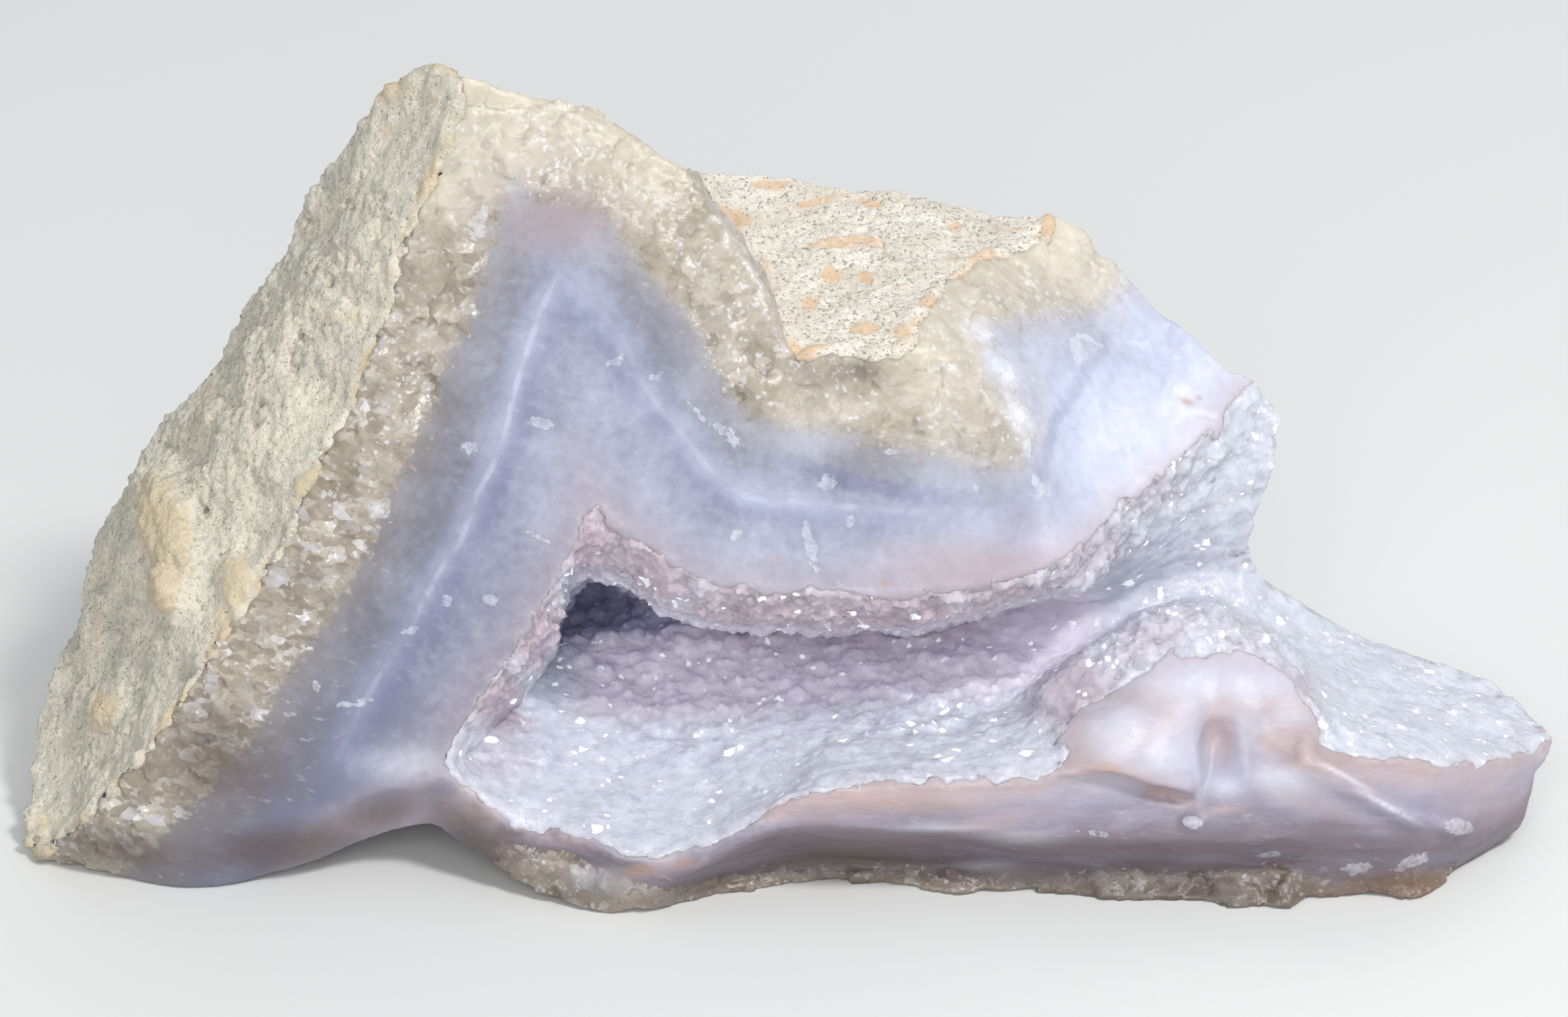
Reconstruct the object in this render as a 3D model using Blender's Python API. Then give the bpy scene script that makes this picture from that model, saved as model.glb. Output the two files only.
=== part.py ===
# Blue lace agate: a broken piece of an agate vein, with host rock on two of its sides and
# a hollow that quartz crystals line. It lies on its flat underside.
#
# Lengths are in millimetres until the last step, which turns them into metres.
# +X is the stone's right, +Y its back and +Z up.
#
# The front is drawn as it is seen from the eye point below: a point of a drawn line is
# (across, up, back), where across and up are read on a sheet that stands on the ground
# line and leans back square to the line of sight, and back is the point's real distance
# behind the ground line. The hidden sides are given as plain (x, y, z) points.

import math
from random import Random

import bmesh
import bpy
from mathutils import Matrix, Vector, noise
from mathutils.bvhtree import BVHTree
from mathutils.geometry import delaunay_2d_cdt
from mathutils.kdtree import KDTree

METRES_PER_MM = 0.001

# The eye point: how steeply it looks down, how far off it is and where it looks on the sheet
LOOK_DOWN = math.radians(28.0)
EYE_DISTANCE = 450.0
SHEET_CENTRE_UP = 31.3

# The pieces, and a spot of the sheet that is inside each of the outer ones
AGATE, SIDE_ROCK, TOP_ROCK, CRYSTALS = range(4)
INSIDE_OF = {SIDE_ROCK: (-44.0, 30.0), TOP_ROCK: (4.0, 48.0), CRYSTALS: (0.0, 15.0)}
PIECE_NAMES = {
    AGATE: "agate", SIDE_ROCK: "host_rock_side", TOP_ROCK: "host_rock_top", CRYSTALS: "quartz_crystals",
}

# Colour (linear light) and roughness of each piece
FINISHES = {
    AGATE: ((0.42, 0.45, 0.62), 0.35), SIDE_ROCK: ((0.50, 0.46, 0.38), 0.9),
    TOP_ROCK: ((0.66, 0.52, 0.40), 0.9), CRYSTALS: ((0.66, 0.64, 0.76), 0.2),
}

# The facets: the longest edge on each piece's front and on the hidden sides, how many rounds
# of splitting there are and how much each evens the corners out and rounds the stone between
# the drawn lines. Only edges between faces flatter than a limit may turn.
EDGE_LENGTHS = {AGATE: 4.8, SIDE_ROCK: 4.4, TOP_ROCK: 4.2, CRYSTALS: 5.4}
HIDDEN_EDGE_LENGTHS = {AGATE: 9.0, SIDE_ROCK: 6.0, TOP_ROCK: 6.0, CRYSTALS: 5.4}
REFINE_ROUNDS = 5
OUTLINE_SWELL = 0.8
EVENING = 0.5
ROUNDING = 0.12
FLAT_ENOUGH = 0.8
HIDDEN_FACING = 0.15

# How rough each piece is: (height, width) of the large and of the small unevenness, and how
# far a face looks away from the eye point before the hidden roughness is used
ROUGHNESS = {
    AGATE: ((0.25, 9.0), (0.12, 3.0)),
    SIDE_ROCK: ((0.5, 7.0), (0.35, 2.4)),
    TOP_ROCK: ((0.35, 7.0), (0.25, 2.4)),
    CRYSTALS: ((0.3, 6.0), (0.2, 2.4)),
}
HIDDEN_ROUGHNESS = ((0.9, 11.0), (0.4, 4.0))
HIDDEN_ROUGHNESS_FACING = 0.3
MARGIN_ROUGHNESS = ((0.3, 4.0), (0.3, 2.2))
MARGIN_WIDTH = 6.0
DRAWN_LINE_ROUGHNESS = 0.5
WAVES_PER_WIDTH = 1.6
PATTERN_START = Vector((0.0, 0.0, 5.0))
PATTERN_STEP = Vector((17.0, 0.0, 0.0))

# Lumps (above nought) and pits (below) as (across, up, half width, half height, rise)
LUMPS = [
    (-47.0, 29.5, 3.0, 5.5, 1.5), (-48.0, 26.0, 2.2, 2.6, 0.8), (-41.5, 25.5, 1.8, 3.0, 0.7),
    (-51.5, 16.0, 2.0, 2.6, 0.9), (-45.3, 18.0, 1.4, 1.6, -0.8),
    (-33.5, 46.0, 1.8, 2.6, 0.5), (-44.5, 36.0, 1.6, 1.4, -0.7), (-37.5, 38.5, 1.5, 1.8, -0.6),
    (-51.5, 22.5, 1.6, 2.2, 0.5), (-35.0, 52.0, 1.3, 1.6, -0.6), (-40.0, 33.0, 1.3, 2.0, -0.5),
    (6.0, 45.5, 2.4, 1.5, 0.5), (3.0, 50.5, 3.4, 1.2, 0.5), (10.0, 52.0, 2.6, 1.2, 0.5),
]

# The underside is ground flat at this height where it would reach below it
FOOT_LEVEL = 0.35

# The layers on the agate: their full thickness, the thickness at their rims, how fast they
# thicken from there and the most that they take of the stone under them. Each layer's rim is
# set back along the surface, so that the gap runs all round it.
CONTACT_GAP = 0.3
RIM_SETBACK = 0.36
FULL_THICKNESS = {SIDE_ROCK: 2.8, TOP_ROCK: 2.8, CRYSTALS: 1.2}
RIM_THICKNESS = {SIDE_ROCK: 0.7, TOP_ROCK: 0.7, CRYSTALS: 0.5}
THICKENING = 0.25
SHARE_OF_STONE = 0.22
DEPTH_ROUNDS = 4
LOOK_START = 0.05
NOTHING_THERE = 100.0

# The points on the crystal crust: their height, how much that varies, how far they lean, the
# smallest face that carries one, and what is tried and needed to stay clear of the stone
CRYSTAL_HEIGHT = 0.85
CRYSTAL_VARIATION = (0.6, 1.2)
CRYSTAL_LEAN = 0.45
SMALLEST_CRYSTAL = 1.9
CRYSTAL_SHARES = (1.0, 0.6, 0.3)
CRYSTAL_CLEARANCE = 0.9
CRYSTAL_SEED = 7

# Outline of the stone, clockwise from the tip of its left foot
SIDE_ROCK_SKYLINE = [
    (-56.8, 4.9, 8), (-57.5, 7.0, 9.8), (-57.1, 10.5, 14.5), (-56.5, 15.3, 19), (-55.0, 20.0, 22),
    (-53.5, 25.0, 25), (-52.0, 30.0, 27), (-50.2, 33.5, 28), (-47.2, 38.0, 29),
    (-45.2, 40.0, 29.5), (-43.0, 42.2, 29.5), (-41.6, 45.8, 29.5), (-39.5, 49.0, 29),
    (-38.0, 51.3, 28.5), (-35.0, 57.0, 27.5), (-32.8, 60.0, 26.5), (-31.5, 61.8, 26),
    (-28.8, 64.3, 24.5), (-26.7, 64.7, 23), (-24.5, 63.9, 21.5),
]
PEAK_SKYLINE = [
    (-24.5, 63.9, 21.5), (-22.7, 63.8, 21.5), (-20.0, 62.8, 22), (-17.0, 62.7, 22.5),
    (-15.0, 62.0, 22.5), (-12.0, 60.1, 22), (-9.2, 58.2, 21.5), (-7.3, 57.0, 21),
]
TOP_ROCK_SKYLINE = [
    (-6.8, 56.9, 35.5), (-4.0, 56.6, 36), (0.0, 56.4, 36.5), (2.5, 56.1, 36.5), (5.2, 55.6, 36),
    (7.0, 56.0, 36), (10.0, 55.3, 36), (14.0, 54.3, 35.5), (17.0, 53.6, 34.5), (20.2, 53.4, 33),
]
SHOULDER_SKYLINE = [
    (20.2, 53.4, 33), (22.5, 52.2, 32.5), (23.7, 50.3, 32), (26.5, 48.9, 31.5), (28.8, 46.0, 31),
    (31.0, 44.8, 30.5), (34.0, 42.1, 29.5), (35.8, 41.1, 28.5),
]
CRYSTAL_SKYLINE = [
    (35.8, 41.1, 28.5), (36.2, 39.9, 28), (37.8, 38.0, 27.5), (37.0, 34.5, 26.5),
    (36.3, 32.0, 26.5), (35.5, 30.0, 27), (35.2, 28.5, 27.5), (35.4, 26.6, 29),
    (38.3, 24.8, 29.5), (41.0, 23.6, 29), (43.0, 22.0, 28.5), (46.2, 20.5, 26.5),
    (50.0, 19.3, 25), (52.5, 19.0, 24), (54.8, 17.7, 22), (57.0, 16.0, 19.5), (58.5, 13.8, 15.5),
]
TAIL_END = [
    (58.5, 13.8, 15.5), (57.9, 12.2, 13.2), (56.9, 11.0, 12.4), (56.5, 9.0, 12), (55.6, 7.2, 11),
    (53.3, 5.0, 8.5), (51.5, 3.8, 6.5),
    (50.6, 2.0, 4), (49.2, 0.8, 1.9), (47.5, 0.4, 1),
]
SHELF_FOOT = [
    (45.0, 1.2, 2.6), (42.0, 1.0, 2.2), (40.0, 1.1, 2.4), (38.2, 0.2, 0.6), (34.0, 0.5, 1.2),
    (30.0, 0.8, 1.8), (26.0, 0.6, 1.4), (23.0, 1.2, 2.6), (19.0, 1.4, 3), (15.0, 1.6, 3.4),
    (12.5, 1.0, 2.2), (9.0, 1.9, 4), (5.0, 2.3, 4.9), (0.0, 2.2, 4.6), (-2.5, 1.6, 3.4),
    (-5.0, 1.2, 2.6), (-8.0, 0.7, 1.5), (-11.0, 0.0, 0.2), (-13.5, 0.4, 0.8), (-15.3, 0.8, 1),
    (-17.0, 2.0, 2), (-20.0, 3.4, 3.2), (-23.0, 5.0, 4.3), (-25.5, 6.3, 5.2), (-26.5, 7.6, 6),
]
LEG_FOOT = [
    (-29.5, 7.0, 6.5), (-33.0, 5.8, 6.2), (-36.0, 4.3, 5.7), (-39.0, 3.3, 5.2),
    (-41.5, 2.2, 4.5), (-44.0, 1.9, 4), (-46.0, 2.2, 4.3), (-50.0, 3.2, 5.5), (-53.0, 3.9, 6.5),
    (-55.8, 4.0, 7.5),
]

# Left side: where the host rock meets the front face, and the bend across the rock itself
SIDE_ROCK_EDGE = [
    (-24.5, 63.9, 21.5), (-25.0, 61.0, 19.3), (-25.8, 58.9, 18.7), (-27.0, 56.2, 17.9),
    (-28.3, 53.5, 17), (-29.0, 51.0, 16.3), (-30.0, 48.5, 15.6), (-30.6, 45.0, 14.5),
    (-31.8, 42.5, 13.8), (-33.0, 39.0, 12.7), (-35.5, 35.5, 11.7), (-37.0, 32.0, 10.6),
    (-38.0, 29.0, 9.7), (-39.8, 26.2, 8.9), (-42.0, 23.0, 7.9), (-44.5, 19.5, 6.9),
    (-46.5, 15.7, 5.9), (-48.5, 13.0, 5.2), (-51.5, 9.7, 5.2), (-54.5, 7.0, 6.2),
    (-56.8, 4.9, 8),
]
SIDE_ROCK_BEND = [
    (-29.5, 62.3, 24), (-33.5, 54.0, 21.5), (-37.0, 46.0, 19.5), (-41.0, 40.0, 18),
    (-44.0, 35.0, 17), (-46.5, 27.0, 15), (-50.0, 18.0, 13), (-53.2, 10.5, 11.5),
    (-56.0, 6.6, 9.2),
]

# Front face: the edge where the leg turns under, a chip above it, and hollows and swells
LEG_UNDER_EDGE = [
    (-54.6, 6.2, 6.4), (-51.0, 7.2, 4.2), (-47.0, 7.4, 3.4), (-43.0, 7.0, 3.1), (-39.0, 6.9, 3.1),
    (-36.6, 6.2, 3.2), (-33.5, 9.0, 3.8), (-30.3, 10.1, 4.1), (-28.5, 9.9, 4.1),
    (-25.8, 10.9, 4.5),
]
LEG_CHIP = [(-33.2, 11.6, 4.3), (-30.5, 13.4, 5.5), (-27.5, 14.4, 5.9), (-25.2, 14.0, 5.4)]
FRONT_FACE_POINTS = [
    (-41.0, 14.0, 4.6), (-34.0, 17.0, 5.6), (-33.5, 29.0, 9.4), (-28.0, 22.0, 7.2),
    (-28.0, 40.0, 12.4), (-22.5, 34.0, 10.6), (-21.5, 49.0, 15.4), (-18.0, 57.0, 18),
    (-14.0, 42.0, 14.4), (-11.0, 50.0, 16.6), (-9.0, 36.0, 12.2), (-15.0, 36.0, 11.6),
    (-2.0, 38.5, 12.8), (-3.0, 31.0, 10.4), (6.0, 38.5, 13.2), (6.0, 30.0, 10.2),
    (13.0, 34.0, 11.8),
]

# Right facet of the upper mass, beyond the crease where the front face turns back
RIGHT_CREASE = [
    (9.7, 44.0, 14.4), (12.5, 42.3, 13.8), (15.0, 40.0, 13.3), (18.5, 37.0, 12.6),
    (19.5, 33.0, 11.3), (20.2, 29.3, 10.4), (19.8, 26.6, 9.6),
]
RIGHT_FACET_POINTS = [
    (16.0, 46.0, 20.5), (20.0, 47.5, 25), (20.5, 42.5, 19.5), (25.0, 44.5, 26), (25.5, 38.0, 20.5),
    (30.5, 41.0, 26), (30.0, 37.5, 23.6), (23.0, 33.0, 15.5),
]

# Top rock: its front edge, its surface, and the flank of the peak that hides its left end
TOP_ROCK_FRONT = [
    (0.8, 43.1, 14), (3.0, 43.4, 14), (5.0, 43.2, 13.8), (8.0, 43.1, 13.7), (9.7, 44.0, 14.4),
    (10.0, 46.0, 17), (12.0, 48.5, 22), (14.5, 50.2, 25.5), (18.0, 51.2, 28.5),
    (20.0, 52.2, 31), (20.2, 53.4, 33),
]
TOP_ROCK_POINTS = [(3.5, 47.5, 22), (7.5, 50.0, 26), (1.0, 52.0, 29.5), (12.0, 52.5, 31)]
PEAK_FLANK = [
    (-7.3, 57.0, 21), (-6.5, 55.0, 19.8), (-4.3, 53.0, 18.6), (-3.0, 50.5, 17.3),
    (-1.7, 49.0, 16.6), (-1.0, 46.5, 15.6), (-0.3, 44.5, 14.8), (0.8, 43.1, 14),
]
PEAK_FLANK_FOOT = [
    (-6.8, 56.9, 35.5), (-6.0, 54.9, 33), (-3.8, 52.9, 30), (-2.5, 50.4, 26.5),
    (-1.2, 48.9, 24), (-0.5, 46.4, 19.5), (0.2, 44.7, 16.4), (0.8, 43.1, 14),
]

# Hollow: where the crystals begin on the front face, the rim that hides what is behind it,
# and the line on the floor and walls that shows just inside the rim
CRYSTALS_BESIDE_LEG = [
    (-25.8, 10.9, 4.5), (-25.6, 12.5, 5), (-25.2, 14.0, 5.4), (-23.5, 16.0, 6), (-21.5, 19.0, 6.9),
    (-20.0, 21.0, 7.5), (-19.0, 23.0, 8.1), (-17.6, 25.0, 8.7), (-16.5, 27.8, 9.5),
    (-15.5, 30.0, 10.1), (-14.3, 31.6, 10.6),
]
CRYSTALS_OVER_HOLLOW = [
    (-14.3, 31.6, 10.6), (-12.5, 30.0, 10.2), (-10.0, 28.2, 9.6), (-8.0, 26.5, 9.2),
    (-5.0, 25.4, 8.8), (-1.0, 25.1, 8.7), (3.0, 24.9, 8.6), (7.0, 24.7, 8.6), (11.0, 24.8, 8.6),
    (15.0, 25.4, 8.9), (19.8, 26.6, 9.6), (21.5, 27.9, 11), (24.0, 29.9, 14), (25.5, 31.5, 16),
    (28.0, 33.5, 19), (30.3, 35.2, 21.2), (32.0, 37.0, 23.3), (33.5, 39.0, 25.5),
    (35.8, 41.1, 28.5),
]
HOLLOW_RIM = [
    (-25.2, 12.0, 5.6), (-24.6, 12.8, 6.2), (-23.4, 14.5, 7.4), (-22.0, 15.7, 8.2),
    (-20.6, 17.2, 9.2), (-19.3, 18.6, 9.8), (-18.8, 20.0, 10.2), (-17.4, 21.3, 10.6),
    (-17.9, 22.8, 10.6), (-16.6, 24.2, 11), (-16.8, 25.8, 11.4), (-15.2, 27.1, 11.9),
    (-13.0, 26.6, 11.8), (-11.0, 25.5, 11.3), (-10.0, 24.3, 11), (-8.0, 23.2, 10.6),
    (-5.0, 22.8, 10.3), (-2.0, 22.7, 10.2), (1.0, 22.6, 10.2), (4.0, 22.4, 10.1),
    (7.0, 22.7, 10.1), (9.0, 22.4, 10.2), (11.5, 22.8, 10.3), (13.5, 23.2, 10.5),
    (15.5, 24.0, 10.8), (19.8, 24.9, 11.6), (22.3, 24.8, 13.2), (23.8, 26.2, 15.4),
    (24.4, 27.6, 17),
]
INSIDE_RIM = [
    (-25.2, 12.0, 5.6), (-24.1, 12.4, 8), (-22.9, 14.1, 11.4), (-21.5, 15.3, 13.9),
    (-20.1, 16.8, 17), (-18.8, 18.2, 19.8), (-18.3, 19.8, 22.5), (-16.9, 21.1, 25.5),
    (-17.2, 22.6, 30), (-16.1, 24.0, 33.5), (-16.3, 25.5, 35), (-15.1, 26.5, 35),
    (-13.1, 26.1, 34.5), (-11.2, 25.1, 33), (-10.4, 24.0, 30.5), (-8.2, 22.8, 27.8),
    (-5.0, 22.3, 27), (-2.0, 22.2, 26.8), (1.0, 22.1, 26.6), (4.0, 21.9, 26),
    (7.0, 22.2, 26), (9.0, 21.9, 25.6), (11.5, 22.3, 25.8), (13.5, 22.7, 26.2),
    (15.6, 23.5, 26.8), (19.9, 24.4, 27), (22.6, 24.3, 26.4), (24.3, 25.8, 22.4),
    (24.4, 27.6, 17),
]
POCKET_SILL = [
    (-16.9, 21.1, 25.5), (-15.0, 21.2, 25.4), (-12.0, 21.6, 26), (-10.0, 21.9, 26.3),
    (-8.3, 22.3, 27),
]
POCKET_POINTS = [(-15.2, 22.4, 31), (-12.6, 22.9, 32), (-14.4, 24.3, 36), (-12.4, 24.0, 34.5)]
HOLLOW_WALL_POINTS = [
    (27.0, 30.0, 20), (30.0, 33.0, 22.5), (33.0, 36.0, 25), (35.3, 38.6, 27), (26.8, 27.2, 21.5),
    (30.0, 29.2, 24), (33.5, 31.5, 25.8), (24.9, 24.7, 25.6), (28.0, 25.5, 26.6),
    (32.0, 26.2, 27.6),
]
FLOOR_POINTS = [
    (-22.5, 10.8, 6.6), (-20.0, 9.6, 6.2), (-15.0, 10.0, 8.3), (-10.0, 10.0, 8.9), (-5.0, 10.0, 8.1),
    (0.0, 11.0, 6.8), (5.0, 12.5, 6.6), (10.0, 12.8, 6.4), (16.0, 12.8, 6),
    (-20.0, 13.5, 11.6), (-15.0, 15.0, 15.4), (-10.0, 15.0, 16.2), (-5.0, 15.0, 16),
    (0.0, 15.0, 15), (5.0, 15.5, 14.3), (10.0, 15.5, 13.5), (15.0, 15.2, 12.2),
    (-16.5, 18.3, 20.2), (-12.0, 19.0, 22), (-6.0, 19.0, 22), (0.0, 19.0, 21.7), (6.0, 19.0, 20.7),
    (12.0, 19.0, 20), (16.5, 19.5, 20.4), (18.5, 22.0, 24),
    (42.5, 18.5, 19), (46.5, 18.2, 21), (45.0, 15.6, 12.4), (50.0, 15.6, 15.3), (54.0, 15.0, 16),
]

# Front edge of the shelf: its lip, the lower edge of the rim under it, and the undercut
SHELF_LIP = [
    (-25.8, 10.9, 4.5), (-24.0, 9.9, 4.2), (-21.5, 8.0, 3.4), (-20.0, 6.9, 2.9),
    (-17.5, 6.6, 2.6), (-14.5, 6.3, 1.9), (-12.8, 5.1, 0.8), (-10.0, 4.8, 0.6), (-7.5, 5.0, 0.8),
    (-5.0, 5.9, 1), (-3.0, 7.1, 1.4), (0.0, 8.8, 1.9), (2.0, 9.8, 2.3), (5.0, 10.3, 2.4),
    (10.0, 10.6, 2.5), (15.0, 10.5, 2.4), (19.5, 11.0, 2.4), (21.6, 12.2, 3.4),
]
SHELF_RIM = [
    (-23.5, 8.2, 4), (-19.0, 5.2, 2), (-17.3, 3.0, 1.4), (-15.0, 1.7, 0.4),
    (-11.5, 1.8, -0.6), (-9.0, 2.8, -0.3), (-5.0, 4.8, 0.3), (-3.5, 5.6, 0.6), (0.0, 7.3, 1.2),
    (5.0, 7.1, 1.2), (9.0, 7.2, 1.3), (13.0, 6.8, 1.3), (20.0, 6.4, 1.2), (30.0, 6.2, 1.3),
    (38.0, 6.2, 1.6), (43.0, 5.6, 2.4),
]
SHELF_UNDERCUT = [
    (-8.0, 1.8, 2), (-3.0, 3.6, 4.6), (2.0, 4.6, 5.6), (7.0, 4.6, 5.6), (12.0, 4.2, 5),
    (17.0, 4.4, 4.6), (24.0, 3.9, 4), (31.0, 3.6, 3.6), (38.0, 4.0, 3.4), (43.0, 3.0, 3.2),
    (47.5, 2.8, 3),
]

# Mound on the shelf: its crest, what shows behind the crest, its broken front and the ledge
MOUND_CREST = [
    (18.9, 15.6, 10.2), (18.9, 16.6, 10.4), (19.3, 18.0, 11), (21.5, 19.4, 11.6), (23.0, 20.2, 12),
    (25.0, 21.3, 12.6), (26.5, 22.6, 13.4), (28.5, 23.3, 13.8), (30.5, 24.0, 14.2),
    (33.0, 23.8, 14.2), (35.0, 22.7, 13.9), (37.5, 21.0, 13.4), (38.8, 19.6, 13.2),
    (40.2, 17.8, 12.4),
]
BEHIND_CREST = [
    (18.9, 15.6, 10.2), (18.4, 16.8, 15), (18.8, 18.5, 19), (21.1, 19.9, 21.5), (22.7, 20.7, 22.4),
    (24.7, 21.8, 23.4), (26.2, 23.1, 24.4), (28.3, 23.8, 25), (30.5, 24.5, 25.4),
    (33.2, 24.3, 25.6), (35.4, 23.1, 25), (38.0, 21.4, 23.6), (39.4, 19.9, 20.5),
    (40.2, 17.8, 12.4),
]
MOUND_CRYSTAL_EDGE = [
    (21.6, 12.2, 3.4), (21.6, 14.0, 5.6), (22.5, 15.8, 7.4), (25.0, 17.2, 8.2), (29.0, 19.5, 9.8),
    (32.0, 20.4, 10.4), (35.0, 20.4, 10.4), (38.0, 18.9, 10), (39.5, 17.0, 8.6),
    (40.4, 15.2, 7), (40.4, 13.4, 5),
]
TAIL_LIP = [
    (40.4, 13.4, 5), (42.0, 12.6, 4.6), (45.0, 12.4, 4.9), (50.0, 12.0, 6.4), (54.0, 12.2, 9.2),
    (57.0, 12.9, 12.6), (58.5, 13.8, 15.5),
]
MOUND_FRONT_POINTS = [
    (25.5, 14.2, 3.4), (23.4, 13.2, 3.6), (28.5, 14.2, 3.8), (25.4, 16.0, 5.6), (30.4, 16.2, 5.2),
    (32.7, 17.0, 7), (31.5, 14.2, 5), (33.0, 14.2, 7.6), (34.3, 13.6, 6), (32.5, 11.2, 5),
    (36.8, 15.6, 5.2), (38.4, 13.2, 3.9), (35.7, 12.4, 3.6), (34.0, 18.4, 8.4),
]
NODULE_UNDER_EDGE = [(21.9, 11.2, 2.5), (25.5, 11.3, 1.5), (28.5, 10.3, 1.5), (31.0, 9.8, 1.7)]
NODULE_STEP = [(22.2, 10.6, 3), (25.5, 10.7, 3.1), (28.7, 9.7, 3.1), (31.2, 9.2, 3)]
LEDGE = [
    (34.0, 10.2, 2.8), (39.7, 12.1, 2.6), (42.5, 11.2, 2.2), (45.0, 9.1, 1.8), (48.0, 8.0, 2.2),
    (51.5, 7.6, 4.8),
]
ABOVE_LEDGE = [(43.0, 11.6, 3.8), (45.6, 9.8, 3.8), (48.4, 8.8, 4.2), (51.8, 8.6, 6.4)]

# Hidden sides: the edge between back and underside, where the rocks end behind the skyline,
# the back, and the underside
BACK_FOOT_EDGE = [
    (-54, 22, 1.5), (-50, 31, 2), (-42, 38, 2), (-28, 42, 3), (-10, 44, 2.5), (8, 43, 2), (22, 38, 2),
    (34, 33, 2.5), (44, 28.5, 2), (52, 24, 2), (56, 18, 2.5),
]
SIDE_ROCK_BACK = [
    (-29.3, 27.5, 54), (-31, 31, 48.5), (-34, 35.5, 40.5), (-37.5, 39, 32), (-41, 40.5, 22),
    (-42.5, 40.5, 12), (-42, 38, 2), (-43.5, 28, 0), (-47.5, 18, -0.3), (-52.5, 11.5, 0.2),
]
TOP_ROCK_BACK = [(-3.5, 40, 38.5), (4, 41.5, 37), (12, 41, 35.5), (18, 38.5, 36)]
BACK_POINTS = [
    (-50, 31, 12), (-46, 36, 22), (-34, 42, 25), (-18, 45, 22), (-2, 46.5, 22), (12, 44.5, 20),
    (24, 40, 18), (33, 35, 16), (-43, 35, 30), (-36.5, 32.5, 42), (-32, 29.5, 50), (-23, 28, 54.5),
    (-18, 32, 50), (-12, 37, 45), (-6.5, 39.5, 41), (6, 43.5, 32), (16, 41, 30), (25, 37.5, 31),
    (32, 33.5, 27),
]
UNDERSIDE_POINTS = [
    (-48, 14, -0.4), (-40, 12, -0.5), (-44, 24, -0.3), (-36, 30, 0), (-28, 14, 5), (-27, 26, 4),
    (-26, 36, 3), (-14, 8, -0.4), (-6, 14, -0.3), (-10, 26, -0.2), (4, 16, 0.6), (6, 30, -0.3),
    (18, 12, -0.2), (30, 10, -0.5), (40, 9, -0.5), (24, 26, -0.2), (38, 20, -0.2), (48, 12, -0.2),
    (-12, 38, 0.3), (10, 37, 0.2),
]

FORWARD = Vector((0, math.cos(LOOK_DOWN), -math.sin(LOOK_DOWN)))
SHEET_UP = Vector((0, math.sin(LOOK_DOWN), math.cos(LOOK_DOWN)))
EYE = SHEET_UP * SHEET_CENTRE_UP - FORWARD * EYE_DISTANCE


def stand(point):
    # The place of a drawn point: where the line of sight through it is that far back
    across, up, back = point
    on_sheet = Vector((across, 0, 0)) + SHEET_UP * up
    sight = on_sheet - EYE
    return EYE + sight * ((back - EYE.y) / sight.y)


def seen(place):
    # Where a place in the stone shows on the sheet
    sight = place - EYE
    on_sheet = EYE + sight * (EYE_DISTANCE / sight.dot(FORWARD))
    return Vector((on_sheet.x, on_sheet.dot(SHEET_UP)))


def drawn(line):
    # The points of a drawn line, each with its spot on the sheet and its place
    return [((across, up), stand((across, up, back))) for across, up, back in line]


def placed(points):
    return [(tuple(round(v, 3) for v in seen(Vector(p))), Vector(p)) for p in points]


def shell(outline, lines, points, swell):
    # Triangles within the outline, through all the lines and points, as
    # {spot: place} and a list of three spots each. Where two corners of the outline would be
    # joined straight across, the stone swells between them.
    places = {}
    edges = []
    for line in [outline + outline[:1], *lines, *([p] for p in points)]:
        for spot, place in line:
            places.setdefault(spot, place)
        edges += [(a[0], b[0]) for a, b in zip(line, line[1:])]
    on_outline = {spot for spot, place in outline}
    drawn_edges = {frozenset(edge) for edge in edges}
    while True:
        spots = list(places)
        number = {spot: i for i, spot in enumerate(spots)}
        loop = [number[spot] for spot, place in outline]
        pairs = [(number[a], number[b]) for a, b in edges]
        _, _, faces, origins, *_ = delaunay_2d_cdt(
            [Vector(spot) for spot in spots], pairs, [loop], 1, 1e-5)
        corners = [[spots[origins[v][0]] for v in face] for face in faces]
        sides = {frozenset(side) for face in corners for side in zip(face, face[1:] + face[:1])}
        across = [side for side in sides if side <= on_outline and side not in drawn_edges]
        if not across:
            return places, corners
        for a, b in map(sorted, across):
            middle = (places[a] + places[b]) / 2 + FORWARD * swell
            places[tuple(round(v, 3) for v in seen(middle))] = middle


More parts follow.
